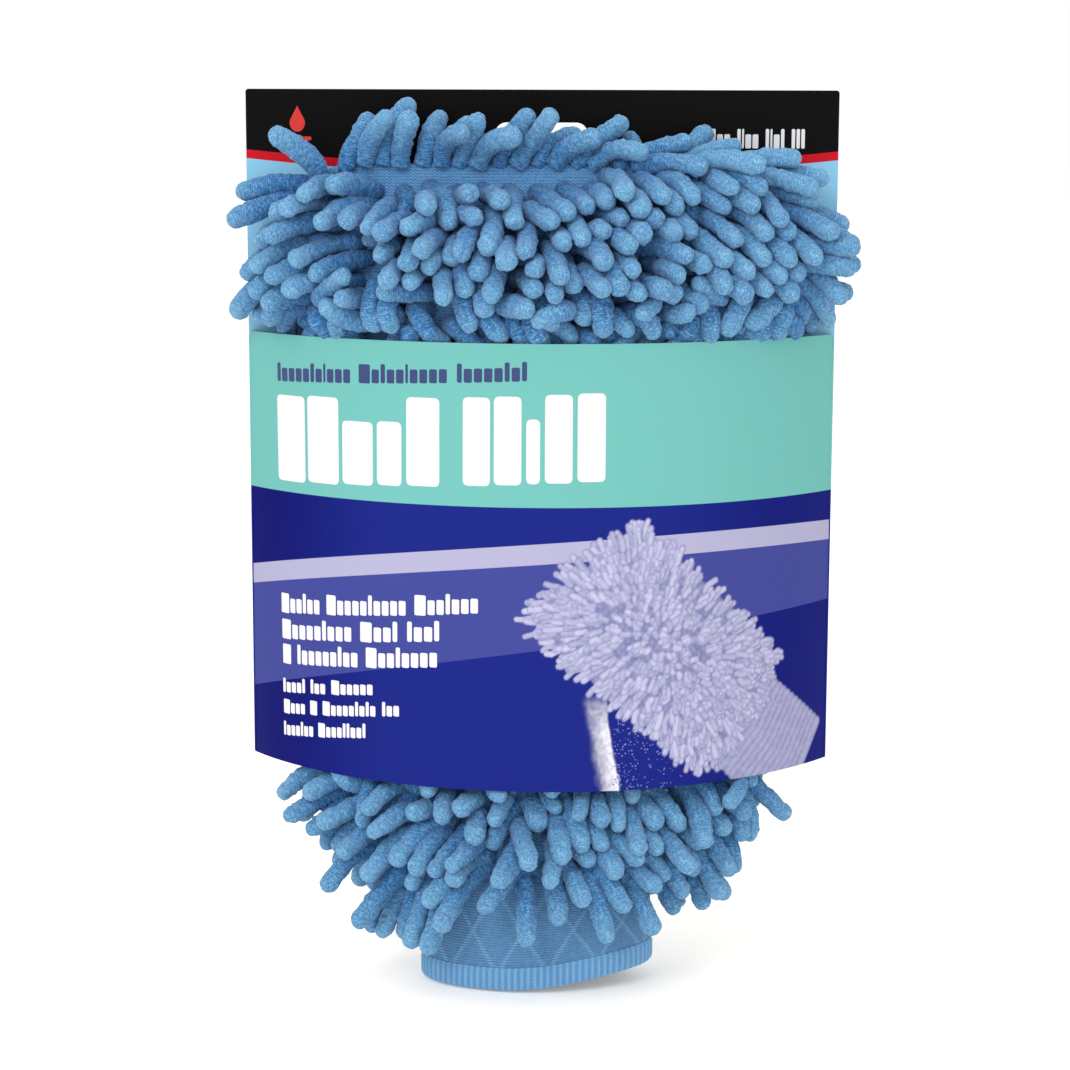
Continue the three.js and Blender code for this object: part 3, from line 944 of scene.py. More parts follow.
def overlock(name, node, line, normal, closed):
    """A sewn edge: thread wound round and round a core, along a line."""
    core, _ = even_line(line, 1.5, closed)
    fine, at = even_line(line, STITCH_PITCH / 12, closed)
    along = unit(np.gradient(fine, axis=0))
    out = unit(np.cross(along, normal))
    turns = round(at[-1] / STITCH_PITCH) / at[-1]
    angle = (at * turns * 2 * math.pi)[:, None]
    wound = fine + (out * np.cos(angle) + np.cross(along, out) * np.sin(angle)) * STITCH_RADIUS
    core_guide = np.broadcast_to(normal, core.shape)
    parts = []
    for points, radius, sides, guide in (
        (core, CORE_RADIUS, 8, core_guide),
        (wound, THREAD_RADIUS, 6, along),
    ):
        ring = tube_points(points, radius, sides, guide)
        parts.append((ring.reshape(-1, 3), tube_faces(len(points), sides, closed)))
    settle(make_piece(name, *joined(parts), materials=[THREAD]), "mitt", "thread", node)


def perimeter_line():
    """The line of the seam: up one side of the fabric, over the top and down the other."""
    z = spaced(FABRIC.bottom + 2.0, FABRIC.top, 4.0)
    side = np.stack([FABRIC.half(z), z], -1)
    top = spaced(FABRIC.half(FABRIC.top), 0.0, 4.0)[1:, None]
    right = np.concatenate([side, np.concatenate([top, np.full(top.shape, FABRIC.top)], -1)])
    along = unit(np.gradient(right, axis=0))
    right = right + np.stack([along[:, 1], -along[:, 0]], -1) * SEAM_OUT
    outline = np.concatenate([right, right[::-1][1:] * (-1, 1)])
    edge = FABRIC.depth(FABRIC.front, FABRIC.half(outline[:, 1]), outline[:, 1]) + 0.2
    line = np.stack([outline[:, 0], edge, outline[:, 1]], -1)
    for _ in range(3):
        line[1:-1] = (line[:-2] + 2 * line[1:-1] + line[2:]) / 4
    return line


CUFF_LOW, CUFF_HIGH = box_mm("cuff_knit")
CUFF_CENTRE = (CUFF_LOW + CUFF_HIGH) / 2
CUFF_HALF = (CUFF_HIGH - CUFF_LOW) / 2
HEM_LOW, HEM_HIGH = box_mm("cuff_hem")
RIBS = 88
COURSE = 0.95
TRELLIS = 11
TRELLIS_RISE = 30.0
CUFF_LIFT = 6.5
CUFF_PLY = 1.8


def even_angles(count):
    """Angles at even distances round the cuff's oval, and the oval's length."""
    a = np.linspace(0, 2 * math.pi, 4001)
    step = np.hypot(np.diff(CUFF_HALF[0] * np.cos(a)), np.diff(CUFF_HALF[1] * np.sin(a)))
    length = np.concatenate([[0], np.cumsum(step)])
    at = np.linspace(0, length[-1], count, endpoint=False)
    return np.interp(at, length, a), at, length[-1]


def cuff_points(angle, outward, z):
    """Points round the cuff. It is pulled up a little on the right."""
    x = CUFF_CENTRE[0] + (CUFF_HALF[0] + outward) * np.cos(angle)
    y = CUFF_CENTRE[1] + (CUFF_HALF[1] + outward) * np.sin(angle)
    lift = CUFF_LIFT * smooth(-12.0, 44.0, x) * smooth(CUFF_HIGH[2] - 2, CUFF_LOW[2] - 4, z)
    return np.stack([x, y, z + lift], -1)


def ring_piece(name, node, profile, columns, relief, material, slot):
    """A ring round the cuff from a closed profile of (outward, height, share of the relief)."""
    angle, at, length = even_angles(columns)
    outward, z, outside = (np.repeat(values[:, None], columns, 1) for values in np.array(profile).T)
    at, angle = np.broadcast_to(at, z.shape), np.broadcast_to(angle, z.shape)
    points = cuff_points(angle, outward + relief(at, z, length) * outside, z)
    rows = len(profile)
    faces = grid_faces(rows + 1, columns, True) % (rows * columns)
    uv = np.stack([at.ravel(), z.ravel()], -1)[faces]
    s = uv[..., 0]
    split = np.ptp(s, axis=1) > length / 2
    s[split] += np.where(s[split] < length / 2, length, 0.0)
    obj = make_piece(name, points.reshape(-1, 3), faces, uv.reshape(-1, 2), materials=[material])
    settle(obj, "mitt", slot, node)


def cuff_relief(s, z, length):
    """Fine courses with a trellis of raised diamonds over them."""
    total = 0.05 * np.cos(2 * math.pi * z / COURSE)
    for way in (1, -1):
        phase = s / (length / TRELLIS) + way * z / TRELLIS_RISE
        distance = np.abs(phase - np.round(phase)) * length / TRELLIS
        total = total + 0.18 * smooth(1.3, 0.4, distance)
    return total


def hem_relief(s, z, length):
    return 0.22 * np.cos(2 * math.pi * s * RIBS / length) * smooth(HEM_HIGH[2], HEM_HIGH[2] - 1.2, z)


def elastic_relief(s, z, length):
    return 0.1 * np.cos(z * 5.0)


def column(low, high, step, outward, outside):
    return [(outward, z, outside) for z in spaced(low, high, step)]


def corners(*points):
    """Profile points that carry no relief."""
    return [(outward, z, 0.0) for outward, z in points]


def make_cuff():
    low, high, top = HEM_HIGH[2] - 0.1, CUFF_HIGH[2], FABRIC.bottom + 0.8
    profile = column(low, high, 0.19, 0.0, 1.0)
    profile += corners((-0.5, high + 0.6), (-0.8, top), (-CUFF_PLY, top))
    profile += column(high, low, 2.0, -CUFF_PLY, 0.0)
    ring_piece("cuff_tube", "cuff_knit", profile, 396, cuff_relief, CUFF_KNIT, "cuff_knit")


def make_hem():
    """The ribbed hem, folded up inside itself, with a channel for the elastic."""
    low, high, proud = HEM_LOW[2], HEM_HIGH[2], HEM_HIGH[0] - CUFF_HALF[0]
    outer = corners((-0.2, high), (proud * 0.3, high - 0.1), (proud * 0.7, high - 0.7))
    outer += [(proud * 0.95, high - 1.3, 0.4)]
    outer += column(high - 1.8, low + 1.6, 0.6, proud, 1.0)
    outer += [(proud - 0.15, low + 1.0, 0.9), (proud - 0.7, low + 0.3, 0.6), (proud - 1.6, low, 0.2)]
    fold = corners((proud - 2.8, low), (proud - 3.8, low + 0.4), (proud - 4.4, low + 1.4))
    inner = column(low + 2.4, high - 0.4, 1.5, proud - 4.4, 0.0)
    channel = corners(
        (proud - 4.2, high), (proud - 3.4, high), (proud - 3.2, high - 0.5), (proud - 3.2, low + 1.4),
        (proud - 1.2, low + 1.4), (proud - 1.2, high - 0.4),
    )
    profile = (outer + fold + inner + channel)[::-1]
    ring_piece("cuff_ribbed_hem", "cuff_hem", profile, RIBS * 10, hem_relief, HEM_KNIT, "cuff_knit")
    elastic = column(low + 1.7, high - 0.5, 1.0, proud - 1.7, 1.0)
    elastic += column(high - 0.5, low + 1.7, 2.0, proud - 2.7, 0.0)
    ring_piece("elastic_ring", "cuff_elastic", elastic, 160, elastic_relief, ELASTIC, "elastic")


def make_knits():
    for name, node, side in (("front_fabric", "front_panel", -1), ("back_fabric", "back_panel", 1)):
        panel_piece(name, node, side)
    overlock("side_overlock", "perimeter_seam", perimeter_line(), np.array([0.0, 1.0, 0.0]), False)
    angle = even_angles(240)[0]
    wrist_z = (FABRIC.bottom + CUFF_HIGH[2]) / 2
    ring = cuff_points(angle, -1.0, np.full(angle.shape, wrist_z))
    overlock("wrist_overlock", "wrist_seam", ring, np.array([0.0, 0.0, 1.0]), True)
    make_cuff()
    make_hem()


# ---------------------------------------------------------------- the card sleeve

TEAL = srgb(119, 196, 190)
NAVY = srgb(30, 41, 135)
MIDDLE_BLUE = srgb(70, 77, 157)
LAVENDER = srgb(184, 182, 216)
WHITE_INK = srgb(242, 242, 245)
BOARD = plain_material("grey_board", srgb(214, 212, 208), 0.75, 0.25, 700.0)

TEAL_BOTTOM = -122.2
STRIPE_WIDTH = 6.9
STRIPE_CURVE = (-134.4, 0.0739, -0.000512)
ZONE_CURVE = (-170.2, 0.1398, -0.0005)
HEADER_BOW = 5.5
BOARD_FIBRE = (260.0, 3.0)
BOARD_BUMP = (0.12, 0.0002)

PICTURE_LEFT = -10.0
PICTURE_TOP = -122.0
PICTURE_STEP = 0.45
PICTURE_CENTRE = np.array([45.5, -170.2])
PICTURE_ALONG = np.array([0.76, -0.65])
PICTURE_ACROSS = np.array([0.65, 0.76])


def arc_half(z):
    """Half the band's length along its arc, at a height."""
    radius = band_radius(band_bulge(z))
    return radius * np.arcsin(CARD_HALF / radius)


ARC_HALF = float(arc_half(BAND_BOTTOM))


def card_wave(s):
    """The card's slight unevenness, in millimetres outward, s along its arc."""
    return 0.25 * np.sin(s / 31.0 + 0.8) * smooth(0.0, 20.0, ARC_HALF - np.abs(s))


def on_band(s, z, lift=0.0):
    """Points over the band: s along its arc, z up, lift outward."""
    s, z = np.broadcast_arrays(np.asarray(s, dtype=float), np.asarray(z, dtype=float))
    points = band_point(s / arc_half(z), z, -lift)
    points[..., 1] -= card_wave(s)
    return points


def on_header(x, z, lift=0.0):
    x, z = np.broadcast_arrays(np.asarray(x, dtype=float), np.asarray(z, dtype=float))
    return np.stack([x, np.full(x.shape, -CARD_T - lift), z], -1)


def dab(picture, points, radius, tone):
    """Paints one rounded stroke through points, lighter along its upper left."""
    s, z, shade, cover = picture
    reach = radius + 1.0
    low, high = points.min(0) - reach, points.max(0) + reach
    first = np.maximum(((low - (s[0, 0], z[0, 0])) / PICTURE_STEP).astype(int), 0)
    last = np.maximum(((high - (s[0, 0], z[0, 0])) / PICTURE_STEP).astype(int) + 2, first)
    window = (slice(first[1], last[1]), slice(first[0], last[0]))
    x, y = s[window], z[window]
    if x.size == 0:
        return
    nearest = np.full(x.shape, 1e9)
    lit = np.zeros(x.shape)
    for a, b in zip(points[:-1], points[1:]):
        d = b - a
        t = np.clip(((x - a[0]) * d[0] + (y - a[1]) * d[1]) / max(d @ d, 1e-6), 0, 1)
        away_x, away_y = x - a[0] - t * d[0], y - a[1] - t * d[1]
        distance = np.hypot(away_x, away_y)
        lit = np.where(distance < nearest, (away_y - away_x) / radius * 0.5, lit)
        nearest = np.minimum(nearest, distance)
    inside = np.clip((radius - nearest) / PICTURE_STEP + 0.5, 0, 1)
    value = tone * (1 - 0.62 * np.clip(nearest / radius, 0, 1) ** 3) + 0.10 * lit
    shade[window] = lerp(shade[window], value, inside)
    cover[window] = np.maximum(cover[window], inside)


def picture_spot(along, across):
    """A place on the band, from places along and across the printed mitt."""
    return PICTURE_CENTRE + PICTURE_ALONG * along + PICTURE_ACROSS * across


def taper(a, b):
    """How far the printed mitt's open end spreads, at a place along and across it."""
    return np.where(a < 0, 7.0 * (a / 41) ** 2 * b / 25, 0.0)


def paint_cuff(picture):
    for k in range(16):
        p = picture_spot(34.0 + k * 2.6, -1.0)
        reach = PICTURE_ACROSS * lerp(16.0, 19.0, k / 15)
        dab(picture, np.array([p - reach, p + PICTURE_ALONG * 2.0, p + reach]), 2.1, 0.60)


def paint_ground(picture):
    """Dark dabs under the fingers, so that no card shows between them."""
    for a, b in product(spaced(-38, 38, 2.4), spaced(-23, 23, 2.4)):
        if (abs(a) / 39) ** 9 + (abs(b) / 24) ** 9 < 1:
            p = picture_spot(a + taper(a, b), b)
            dab(picture, np.array([p, p + (0.1, 0.1)]), 2.4, 0.42)


def paint_fingers(picture):
    """Short bent strokes that point outward, the outermost first."""
    rng = np.random.default_rng(12)
    a, b = rng.uniform(-41, 41, 980), rng.uniform(-25, 24, 980)
    keep = (np.abs(a) / 41) ** 12 + (np.abs(b) / 25) ** 12 < 1
    a, b = a[keep], b[keep]
    a = a + taper(a, b)
    outward = np.hypot((a + 4) / 40, b / 23) ** 1.5
    for k in np.argsort(-outward):
        way = np.array([(a[k] + 4) / 40, b[k] / 23])
        way *= min(outward[k] * 1.1, 1.0) / max(outward[k], 1e-3)
        root = picture_spot(a[k], b[k])
        way = (PICTURE_ALONG * way[0] + PICTURE_ACROSS * way[1]) * rng.uniform(3.2, 5.6)
        tip = root + way + rng.normal(0, 0.5, 2)
        bend = (root + tip) / 2 + rng.normal(0, 0.4, 2)
        dab(picture, np.array([root, bend, tip]), rng.uniform(1.0, 1.25), rng.uniform(0.66, 0.98))


def printed_mitt(s, z):
    """Brightness and cover of the printed mitt over a grid of band positions."""
    shade, cover = np.zeros(s.shape), np.zeros(s.shape)
    for paint in (paint_cuff, paint_ground, paint_fingers):
        paint((s, z, shade, cover))
    grain = NOISE(np.stack([s, z, np.zeros_like(s)], -1), 1.1) * 0.08
    return np.clip(shade + grain * cover, 0, 1), cover


def picture_colours(s, z):
    """Colour and cover of the band's printed picture: the mitt, a streak of foam and drops."""
    shade, cover = printed_mitt(s, z)
    dark, pale = np.array(srgb(84, 88, 150)[:3]), np.array(srgb(206, 206, 238)[:3])
    foam_white = np.array(srgb(244, 243, 252)[:3])
    colour = lerp(dark, pale, shade[..., None])
    coarse = NOISE(np.stack([s, z, np.ones_like(s)], -1), 2.2)
    speck = NOISE(np.stack([s, z, np.ones_like(s) * 9], -1), 0.9)
    middle = lerp(20.5, 25.5, np.clip((-188 - z) / 30, 0, 1))
    across = s - middle + coarse * 0.9
    foam = smooth(-5.4, -2.2, across) * smooth(3.9, 3.0, across) * smooth(-184.0, -188.5, z)
    body = lerp(0.55, 0.95, smooth(-4.0, 2.5, across) * smooth(-186, -200, z))
    foam = foam * body + 0.12 * speck * foam
    foam = np.clip(foam, 0, 1) * (1 - cover)
    colour = lerp(colour, foam_white, foam[..., None])
    cover = np.clip(cover + foam, 0, 1)
    return np.concatenate([colour, cover[..., None]], -1)


def band_print():
    """Flat colours in curved stripes, with the printed picture over them and painted shade towards the
    band's sides.
    """
    n = Nodes("band_print")
    s, z = n.uv()

    def curve(a, b, c):
        return n.math("MULTIPLY_ADD", s, n.math("MULTIPLY_ADD", s, c, b), a)

    def below(level):
        return n.ramp(n.less(level, z), -0.12, 0.12)

    top = curve(*STRIPE_CURVE)
    # side: how much painted shade falls on the band towards its sides, most on the left.
    away = n.math("ABSOLUTE", n.plus(s, 6.0))
    side = n.times(n.ramp(away, 40.0, 106.0), n.ramp(s, -20.0, 20.0, 1.0, 0.6))
    # The navy deepens towards the sides: partly its print gradient, partly painted shade.
    navy = n.mix(side, NAVY, srgb(8, 13, 112))
    colour = n.mix(below(TEAL_BOTTOM), TEAL, navy)
    colour = n.mix(below(top), colour, LAVENDER)
    colour = n.mix(below(n.less(top, STRIPE_WIDTH)), colour, MIDDLE_BLUE)
    colour = n.mix(below(curve(*ZONE_CURVE)), colour, navy)
    picture = n.attribute("picture")
    colour = n.mix(picture["Alpha"], colour, picture["Color"])
    # A little painted shade darkens every colour towards the sides.
    colour = n.mix(n.times(side, 0.05), colour, (0, 0, 0, 1))
    n.bump(n.fibre(*BOARD_FIBRE), *BOARD_BUMP)
    return n.finish(colour, 0.4, Specular_IOR_Level=0.03)


def header_print():
    """Black over red over pale blue, in a bow, and the colours that show behind the band."""
    n = Nodes("header_print")
    x, z = n.uv()
    bow = n.math("MULTIPLY_ADD", n.times(x, x), HEADER_BOW / CARD_HALF ** 2, -2 * HEADER_BOW)

    def below(level):
        return n.ramp(n.less(level, z), -0.1, 0.1)

    colour = n.mix(below(bow), srgb(9, 7, 8), srgb(213, 24, 40))
    colour = n.mix(below(n.less(bow, 3.0)), colour, srgb(150, 212, 245))
    fold = n.ramp(n.math("ABSOLUTE", x), CARD_HALF - 3.0, CARD_HALF - 2.8)
    inside = n.mix(fold, srgb(196, 194, 190), n.mix(below(TEAL_BOTTOM), TEAL, NAVY))
    colour = n.mix(below(BAND_TOP - 1.0), colour, inside)
    n.bump(n.fibre(*BOARD_FIBRE), *BOARD_BUMP)
    return n.finish(colour, 0.4, Specular_IOR_Level=0.06)


def band_piece():
    """The printed band: outer face, inner face and the cut edges between them."""
    left, right = spaced(-ARC_HALF, PICTURE_LEFT, 2.0), spaced(PICTURE_LEFT, ARC_HALF, PICTURE_STEP)
    under, over = spaced(BAND_BOTTOM, PICTURE_TOP, PICTURE_STEP), spaced(PICTURE_TOP, BAND_TOP, 2.0)
    s, z = np.concatenate([left[:-1], right]), np.concatenate([under[:-1], over])
    ss, zz = np.meshgrid(s / ARC_HALF, z)
    ss = ss * arc_half(zz)
    outer, inner = on_band(ss, zz), on_band(ss, zz, -CARD_T)
    keep_z, keep_s = (np.unique(np.append(np.arange(0, size, 6), size - 1)) for size in ss.shape)
    parts = []
    for grid, flip in (
        (outer, False),
        (inner[np.ix_(keep_z, keep_s)], True),
        (np.stack([inner[0], outer[0]]), False),
        (np.stack([outer[-1], inner[-1]]), False),
        (np.stack([inner[:, -1], outer[:, -1]]), True),
        (np.stack([inner[:, 0], outer[:, 0]]), False),
    ):
        quads = grid_faces(*grid.shape[:2])
        parts.append((grid.reshape(-1, 3), quads[:, ::-1] if flip else quads))
    verts, faces = joined(parts)
    colour = np.zeros(ss.shape + (4,))
    low, inside = z <= PICTURE_TOP, s >= PICTURE_LEFT
    colour[np.ix_(low, inside)] = picture_colours(*np.meshgrid(s[inside], z[low]))
    uv, picture = np.zeros((len(verts), 2)), np.zeros((len(verts), 4))
    uv[: ss.size] = np.stack([ss, zz], -1).reshape(-1, 2)
    picture[: ss.size] = colour.reshape(-1, 4)
    obj = make_piece("printed_band", verts, faces, uv[faces.ravel()], {"picture": picture},
                     [band_print(), BOARD])
    board = np.arange(len(faces)) >= len(parts[0][1])
    obj.data.polygons.foreach_set("material_index", board.astype(np.int32))
    return obj


def rounded_outline(low, high, corner):
    """A rectangle with rounded corners, anticlockwise from its upper right one."""
    points = []
    for turn, (right, upper) in enumerate(((True, True), (False, True), (False, False), (True, False))):
        x = high[0] - corner if right else low[0] + corner
        z = high[1] - corner if upper else low[1] + corner
        for k in range(5):
            a = math.pi / 2 * (turn + k / 4)
            points.append((x + corner * math.cos(a), z + corner * math.sin(a)))
    return points


def slot_outline():
    """The hang slot: a straight stretch between two half circles."""
    radius = SLOT_HEIGHT / 2
    turns = np.linspace(-math.pi / 2, math.pi / 2, 17)
    right = np.stack([SLOT_LENGTH / 2 - radius + radius * np.cos(turns), radius * np.sin(turns)], -1)
    return [tuple(p) for p in np.concatenate([right, -right])]


def header_piece():
    """The flat back of the sleeve, with the header and its hang slot."""
    outline = rounded_outline((-CARD_HALF, BAND_BOTTOM), (CARD_HALF, CARD_HIGH[2]), 1.0)
    slot = slot_outline()
    line = outline + slot
    count = len(line)
    verts = [(x, y, z) for y in (-CARD_T, 0.0) for x, z in line]
    faces = []
    for a, b, c in tessellate_polygon([[Vector((x, z, 0)) for x, z in loop] for loop in (outline, slot)]):
        (ax, az), (bx, bz), (cx, cz) = line[a], line[b], line[c]
        turned = (bx - ax) * (cz - az) - (bz - az) * (cx - ax)
        a, b, c = (a, b, c) if turned > 0 else (a, c, b)
        faces += [(a, b, c), (a + count, c + count, b + count)]
    for start, size in ((0, len(outline)), (len(outline), len(slot))):
        for k in range(size):
            a, b = start + k, start + (k + 1) % size
            faces.append((b, a, a + count, b + count))
    uvs = [(verts[i][0], verts[i][2]) for face in faces for i in face]
    obj = make_piece("header_and_back", verts, faces, uvs, None, [header_print(), BOARD], False)
    for face in obj.data.polygons:
        face.material_index = 0 if face.normal.y < -0.9 and face.center.y < -0.0004 else 1
    return obj


def flap_piece():
    """The glued flap that joins the band to the back, seen from behind."""
    low, high = (CARD_HALF - 17.0, BAND_BOTTOM + 3.0), (CARD_HALF - 0.4, BAND_TOP - 3.0)
    slant = 2.5
    outline = ((low[0], low[1] + slant), (high[0], low[1]), high, (low[0], high[1] - slant))
    verts = [(x, y, z) for y in (0.02, 0.5) for x, z in outline]
    walls = [((k + 1) % 4, k, k + 4, (k + 1) % 4 + 4) for k in range(4)]
    faces = [(0, 1, 2, 3), (7, 6, 5, 4)] + walls
    return make_piece("glued_flap", verts, faces, materials=[BOARD], smooth_faces=False)


def ink_block(s0, z0, wide, tall, corner):
    """A rounded block of ink as columns: positions along, lower ends and upper ends."""
    r = min(corner, wide / 2.1, tall / 2.1)
    arc = r * (1 - np.cos(np.linspace(0, math.pi / 2, 4)))
    middle = spaced(s0 + r, s0 + wide - r, 1.5)
    s = np.concatenate([s0 + arc[:-1], middle, (s0 + wide - arc[:-1])[::-1]])
    d = np.clip(np.minimum(s - s0, s0 + wide - s), 0, r)
    cut = r - np.sqrt(np.maximum(r * r - (r - d) ** 2, 0))
    return s, z0 + cut, z0 + tall - cut


def ink_dot(s, z, size):
    angle = np.linspace(-math.pi / 2, math.pi / 2, 7)
    reach = np.maximum(np.cos(angle), 0.05) * size
    return s + np.sin(angle) * size, z - reach, z + reach


def ink_drop(x, z, size):
    """A plain water drop as columns."""
    u = np.sin(np.linspace(-math.pi / 2 * 0.98, math.pi / 2 * 0.98, 25))
    curve = np.sqrt(1 - u * u) * size
    return x + u * size * 0.85, z - curve, z + curve * 0.75 + size * 1.1 * (1 - np.abs(u)) ** 1.6


def ink_piece(name, blocks, material, place):
    """Thin blocks of ink over the card."""
    parts = []
    for s, low, high in blocks:
        lines = ((low, 0.05), (high, 0.05), (high, -0.02), (low, -0.02))
        ring = np.stack([place(s, z, lift) for z, lift in lines], 1)
        last = 4 * (len(s) - 1)
        ends = [[0, 1, 2, 3], [last + 3, last + 2, last + 1, last]]
        parts.append((ring.reshape(-1, 3), np.concatenate([grid_faces(len(s), 4, True)[:, ::-1], ends])))
    return make_piece(name, *joined(parts), materials=[material], smooth_faces=False)


BLOCK_WIDTHS = {"t": 0.62, "x": 0.92, "w": 1.35, "i": 0.42, " ": 0.75}


def word_blocks(pattern, s0, z0, width, height, slope):
    """Plain blocks in place of lettering: t and i are narrow and tall, x is low, w is wide and tall."""
    share = width / sum(BLOCK_WIDTHS[c] for c in pattern)
    blocks, s = [], s0
    for c in pattern:
        wide = BLOCK_WIDTHS[c] * share
        if c != " ":
            tall = height * (0.72 if c == "x" else 1.0)
            z = z0 + slope * (s - s0)
            blocks.append(ink_block(s + 0.09 * share, z, wide - 0.18 * share, tall, 0.12 * share + 0.1))
        s += wide
    return blocks


# Lines of blocks: pattern, start and height on the card, length, height of the blocks, slope.
SMALL_LINES = (
    ("wxxtxx wxxxxtxxxx wxxtxxx", -99.6, -164.8, 80.5, 6.9, 0.088),
    ("wxxxxtxxx wxxt txxt", -99.5, -173.9, 67.0, 6.9, 0.09),
    ("w txxxxxtxx wxxtxxxx", -99.3, -182.7, 66.0, 6.9, 0.09),
    ("txxxt txx wxxxxx", -99.5, -193.0, 42.0, 5.0, 0.11),
    ("wxxx w wxxxxtxtx txx", -99.3, -200.4, 52.0, 5.0, 0.11),
    ("txxxtxx wxxxttxxt", -99.5, -208.3, 39.0, 5.0, 0.12),
)
SUBTITLE = ("txxxxtxixxx wxtxxixxxx txxxxtxt", -99.4, -84.2, 96.5, 6.4, 0.042)
CLAIM = ("wxx tixx tixt ttt", 56.2, -4.6, 34.0, 6.6, 0.0)

# The title's blocks: start, width, height.
TITLE = (
    (-99.5, 13.6, 29.6), (-84.6, 13.6, 29.6), (-69.4, 12.2, 21.5), (-55.6, 9.2, 21.5), (-44.6, 11.8, 29.6),
    (-24.7, 9.2, 29.4), (-14.2, 9.2, 29.4), (-3.4, 4.6, 21.5), (2.8, 9.2, 29.4), (13.6, 9.4, 29.4),
)
TITLE_RISE = (-118.4, -113.2)


def spray():
    """Small round drops beside the streak of foam."""
    rng = np.random.default_rng(3)
    s, z = rng.uniform(26.5, 52.0, 900), rng.uniform(-219.0, -189.0, 900)
    wet = (z < -190 - (s - 23.5) * 0.72) & (rng.uniform(0, 1, 900) < 0.75 * np.exp(-(s - 26.5) / 12.0))
    size = rng.uniform(0.12, 0.32, 900)
    return [ink_dot(*drop) for drop in zip(s[wet], z[wet], size[wet])]


def title_blocks():
    """Ten plain tall blocks on a line that rises to the right."""
    first, last = TITLE[0][0], 23.0
    return [
        ink_block(s, lerp(*TITLE_RISE, (s - first) / (last - first)), wide, tall, 1.6)
        for s, wide, tall in TITLE
    ]


def make_card():
    def ink(name, colour, roughness=0.45):
        return plain_material(name, colour, roughness, fleck=0.985)

    white = ink("white_ink", WHITE_INK)
    dark = ink("navy_ink", srgb(36, 58, 118))
    red = ink("red_ink", srgb(222, 26, 16), 0.5)
    violet = ink("spray_ink", srgb(112, 120, 190), 0.5)
    small = [block for line in SMALL_LINES for block in word_blocks(*line)]
    badge = [ink_drop(-83.8, 3.6, 3.1), ink_block(-88.6, -2.4, 9.6, 1.3, 0.5)]
    for name, blocks, material, place in (
        ("spray_dots", spray(), violet, on_band),
        ("title_blocks", title_blocks(), white, on_band),
        ("text_blocks", small, white, on_band),
        ("subtitle_blocks", word_blocks(*SUBTITLE), dark, on_band),
        ("header_blocks", word_blocks(*CLAIM), white, on_header),
        ("header_badge", badge, red, on_header),
    ):
        settle(ink_piece(name, blocks, material, place), "sleeve", "printed_card")
    settle(band_piece(), "sleeve", "printed_card", "card_sleeve")
    settle(header_piece(), "sleeve", "printed_card", "card_sleeve")
    settle(flap_piece(), "sleeve", "printed_card")


# ---------------------------------------------------------------- scene

CAMERA_PLACE = (0.0241, -0.9039, 0.0076)
CAMERA_PITCH, CAMERA_YAW, CAMERA_ROLL = 0.1609, -0.0286, 0.0034
CAMERA_LENS = 87.7794
SENSOR = 36.0


def make_camera():
    camera = bpy.data.cameras.new("camera")
    camera.sensor_width = SENSOR
    camera.lens = CAMERA_LENS
    camera.clip_start, camera.clip_end = 0.05, 20
    level, drop = math.cos(CAMERA_PITCH), math.sin(CAMERA_PITCH)
    forward = Vector((math.sin(CAMERA_YAW) * level, math.cos(CAMERA_YAW) * level, -drop))
    obj = bpy.data.objects.new("camera", camera)
    obj.location = CAMERA_PLACE
    obj.rotation_mode = "QUATERNION"
    obj.rotation_quaternion = forward.to_track_quat("-Z", "Y") @ Quaternion((0, 0, 1), CAMERA_ROLL)
    bpy.context.scene.collection.objects.link(obj)
    bpy.context.scene.camera = obj


LIGHTS = (
    ("key", (-0.55, -1.10, 0.75), 0.6, 7.0),
    ("fill", (0.5, -1.2, -0.25), 1.2, 1.8),
    ("top", (0.0, -0.2, 1.3), 1.0, 2.0),
)
LIT_POINT = Vector((0, -0.02, -0.14))
FLOOR_HALF = 8000.0


def make_light(name, place, size, power):
    light = bpy.data.lights.new(name, "AREA")
    light.size, light.energy = size, power
    obj = bpy.data.objects.new(name, light)
    obj.location = place
    obj.rotation_mode = "QUATERNION"
    obj.rotation_quaternion = (LIT_POINT - Vector(place)).to_track_quat("-Z", "Y")
    bpy.context.scene.collection.objects.link(obj)


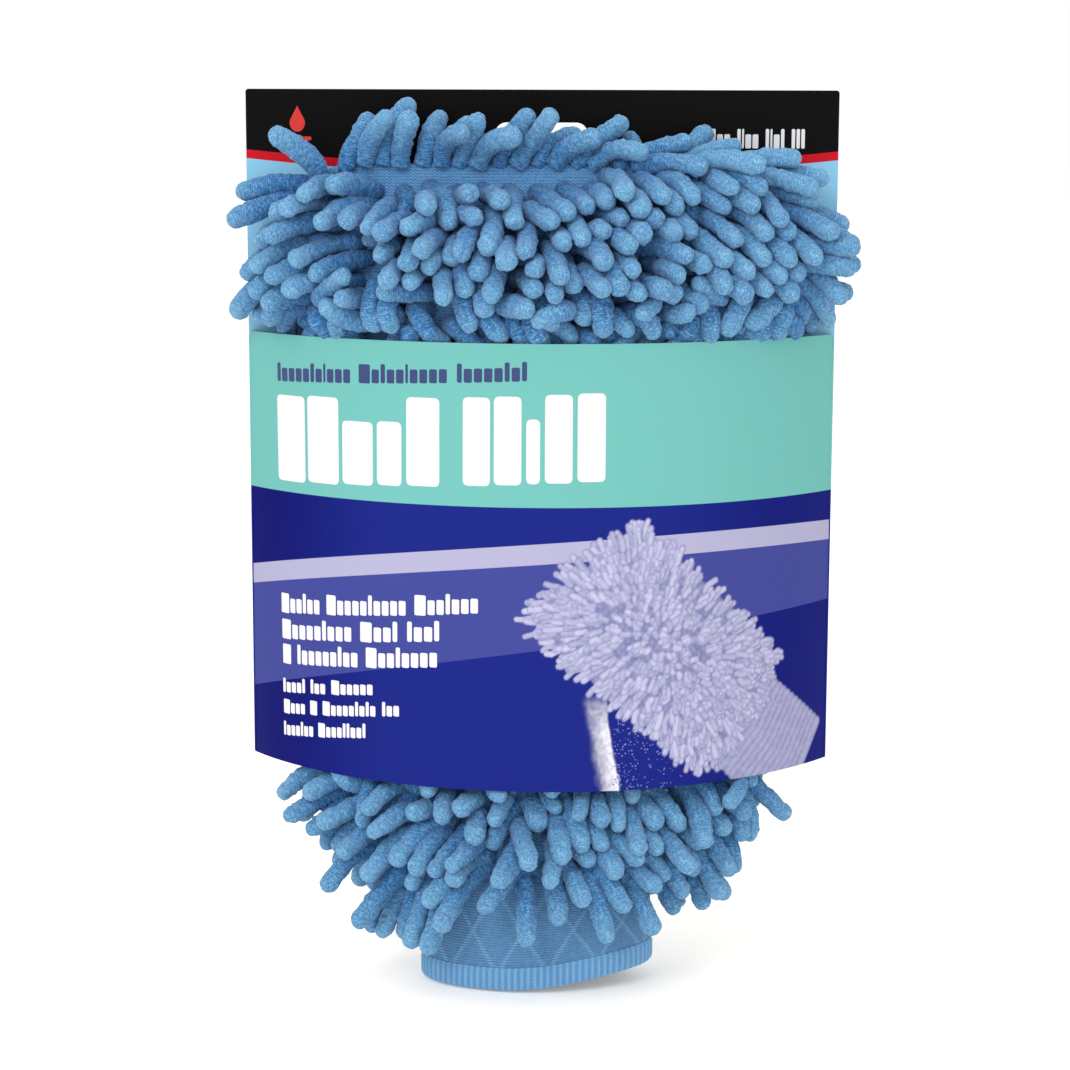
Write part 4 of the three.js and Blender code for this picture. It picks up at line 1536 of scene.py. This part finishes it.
def make_studio():
    scene = bpy.context.scene
    scene.view_settings.view_transform = "Standard"
    scene.world = bpy.data.worlds.new("studio")
    scene.world.use_nodes = True
    background = scene.world.node_tree.nodes["Background"]
    background.inputs["Color"].default_value = (1, 1, 1, 1)
    background.inputs["Strength"].default_value = 1.0
    for light in LIGHTS:
        make_light(*light)
    n = Nodes("floor_white")
    white = n.finish((0.97, 0.93, 0.87, 1), 0.8, Emission_Color=(1, 1, 1, 1), Emission_Strength=0.20)
    corners = ((-1, -1), (1, -1), (1, 1), (-1, 1))
    verts = [(x * FLOOR_HALF, y * FLOOR_HALF, FLOOR_Z) for x, y in corners]
    make_piece("floor", verts, [(0, 1, 2, 3)], materials=[white])


# Rings and sides of a finger, by how much of it is seen.
HIDDEN_DETAIL = (20, 14)
BACK_DETAIL = (32, 20)
FRONT_DETAIL = (44, 26)


def make_pile():
    """One piece for every row of fingers. The rows under the band are slimmer and coarser."""
    fingers = plant()
    chains = Settling(fingers).run(160)
    for index, row in enumerate(sorted(set(fingers.row))):
        chosen = fingers.row == row
        zone = "above" if row == "top_edge_row" else zone_of(np.mean(fingers.root[chosen, 2]))
        hidden = zone == "band"
        seen = BACK_DETAIL if row.startswith("back") else FRONT_DETAIL
        rings, sides = HIDDEN_DETAIL if hidden else seen
        # How far the painted shade at the roots is lifted: more on the comb and below the band, and more
        # towards the right above it, where the fingers lie flatter and shade each other less.
        paler = {"top_edge_row": 0.45}.get(row, 0.22 if zone == "below" else 0.0)
        if zone == "above":
            paler = paler + 0.34 * smooth(15.0, 60.0, fingers.root[chosen, 0])
        piece = finger_mesh(row + "_fingers", chains[chosen], fingers.length[chosen], rings, sides,
                            100 + index, 0.88 if hidden else 1.0, paler)
        settle(piece, "mitt", "chenille", row)


make_camera()
make_studio()

CHENILLE = chenille_material()
PANEL_KNIT = knit_material("panel_knit", srgb(66, 122, 182), srgb(112, 170, 218), 0.62, 0.95)
CUFF_KNIT = cuff_material()
HEM_KNIT = hem_material()
THREAD = plain_material("sewing_thread", srgb(74, 140, 204), 0.8, 0.2, 1500.0)
ELASTIC = plain_material("elastic_tape", srgb(226, 226, 224), 0.9, 0.3, 1500.0)

make_card()
make_knits()
make_pile()
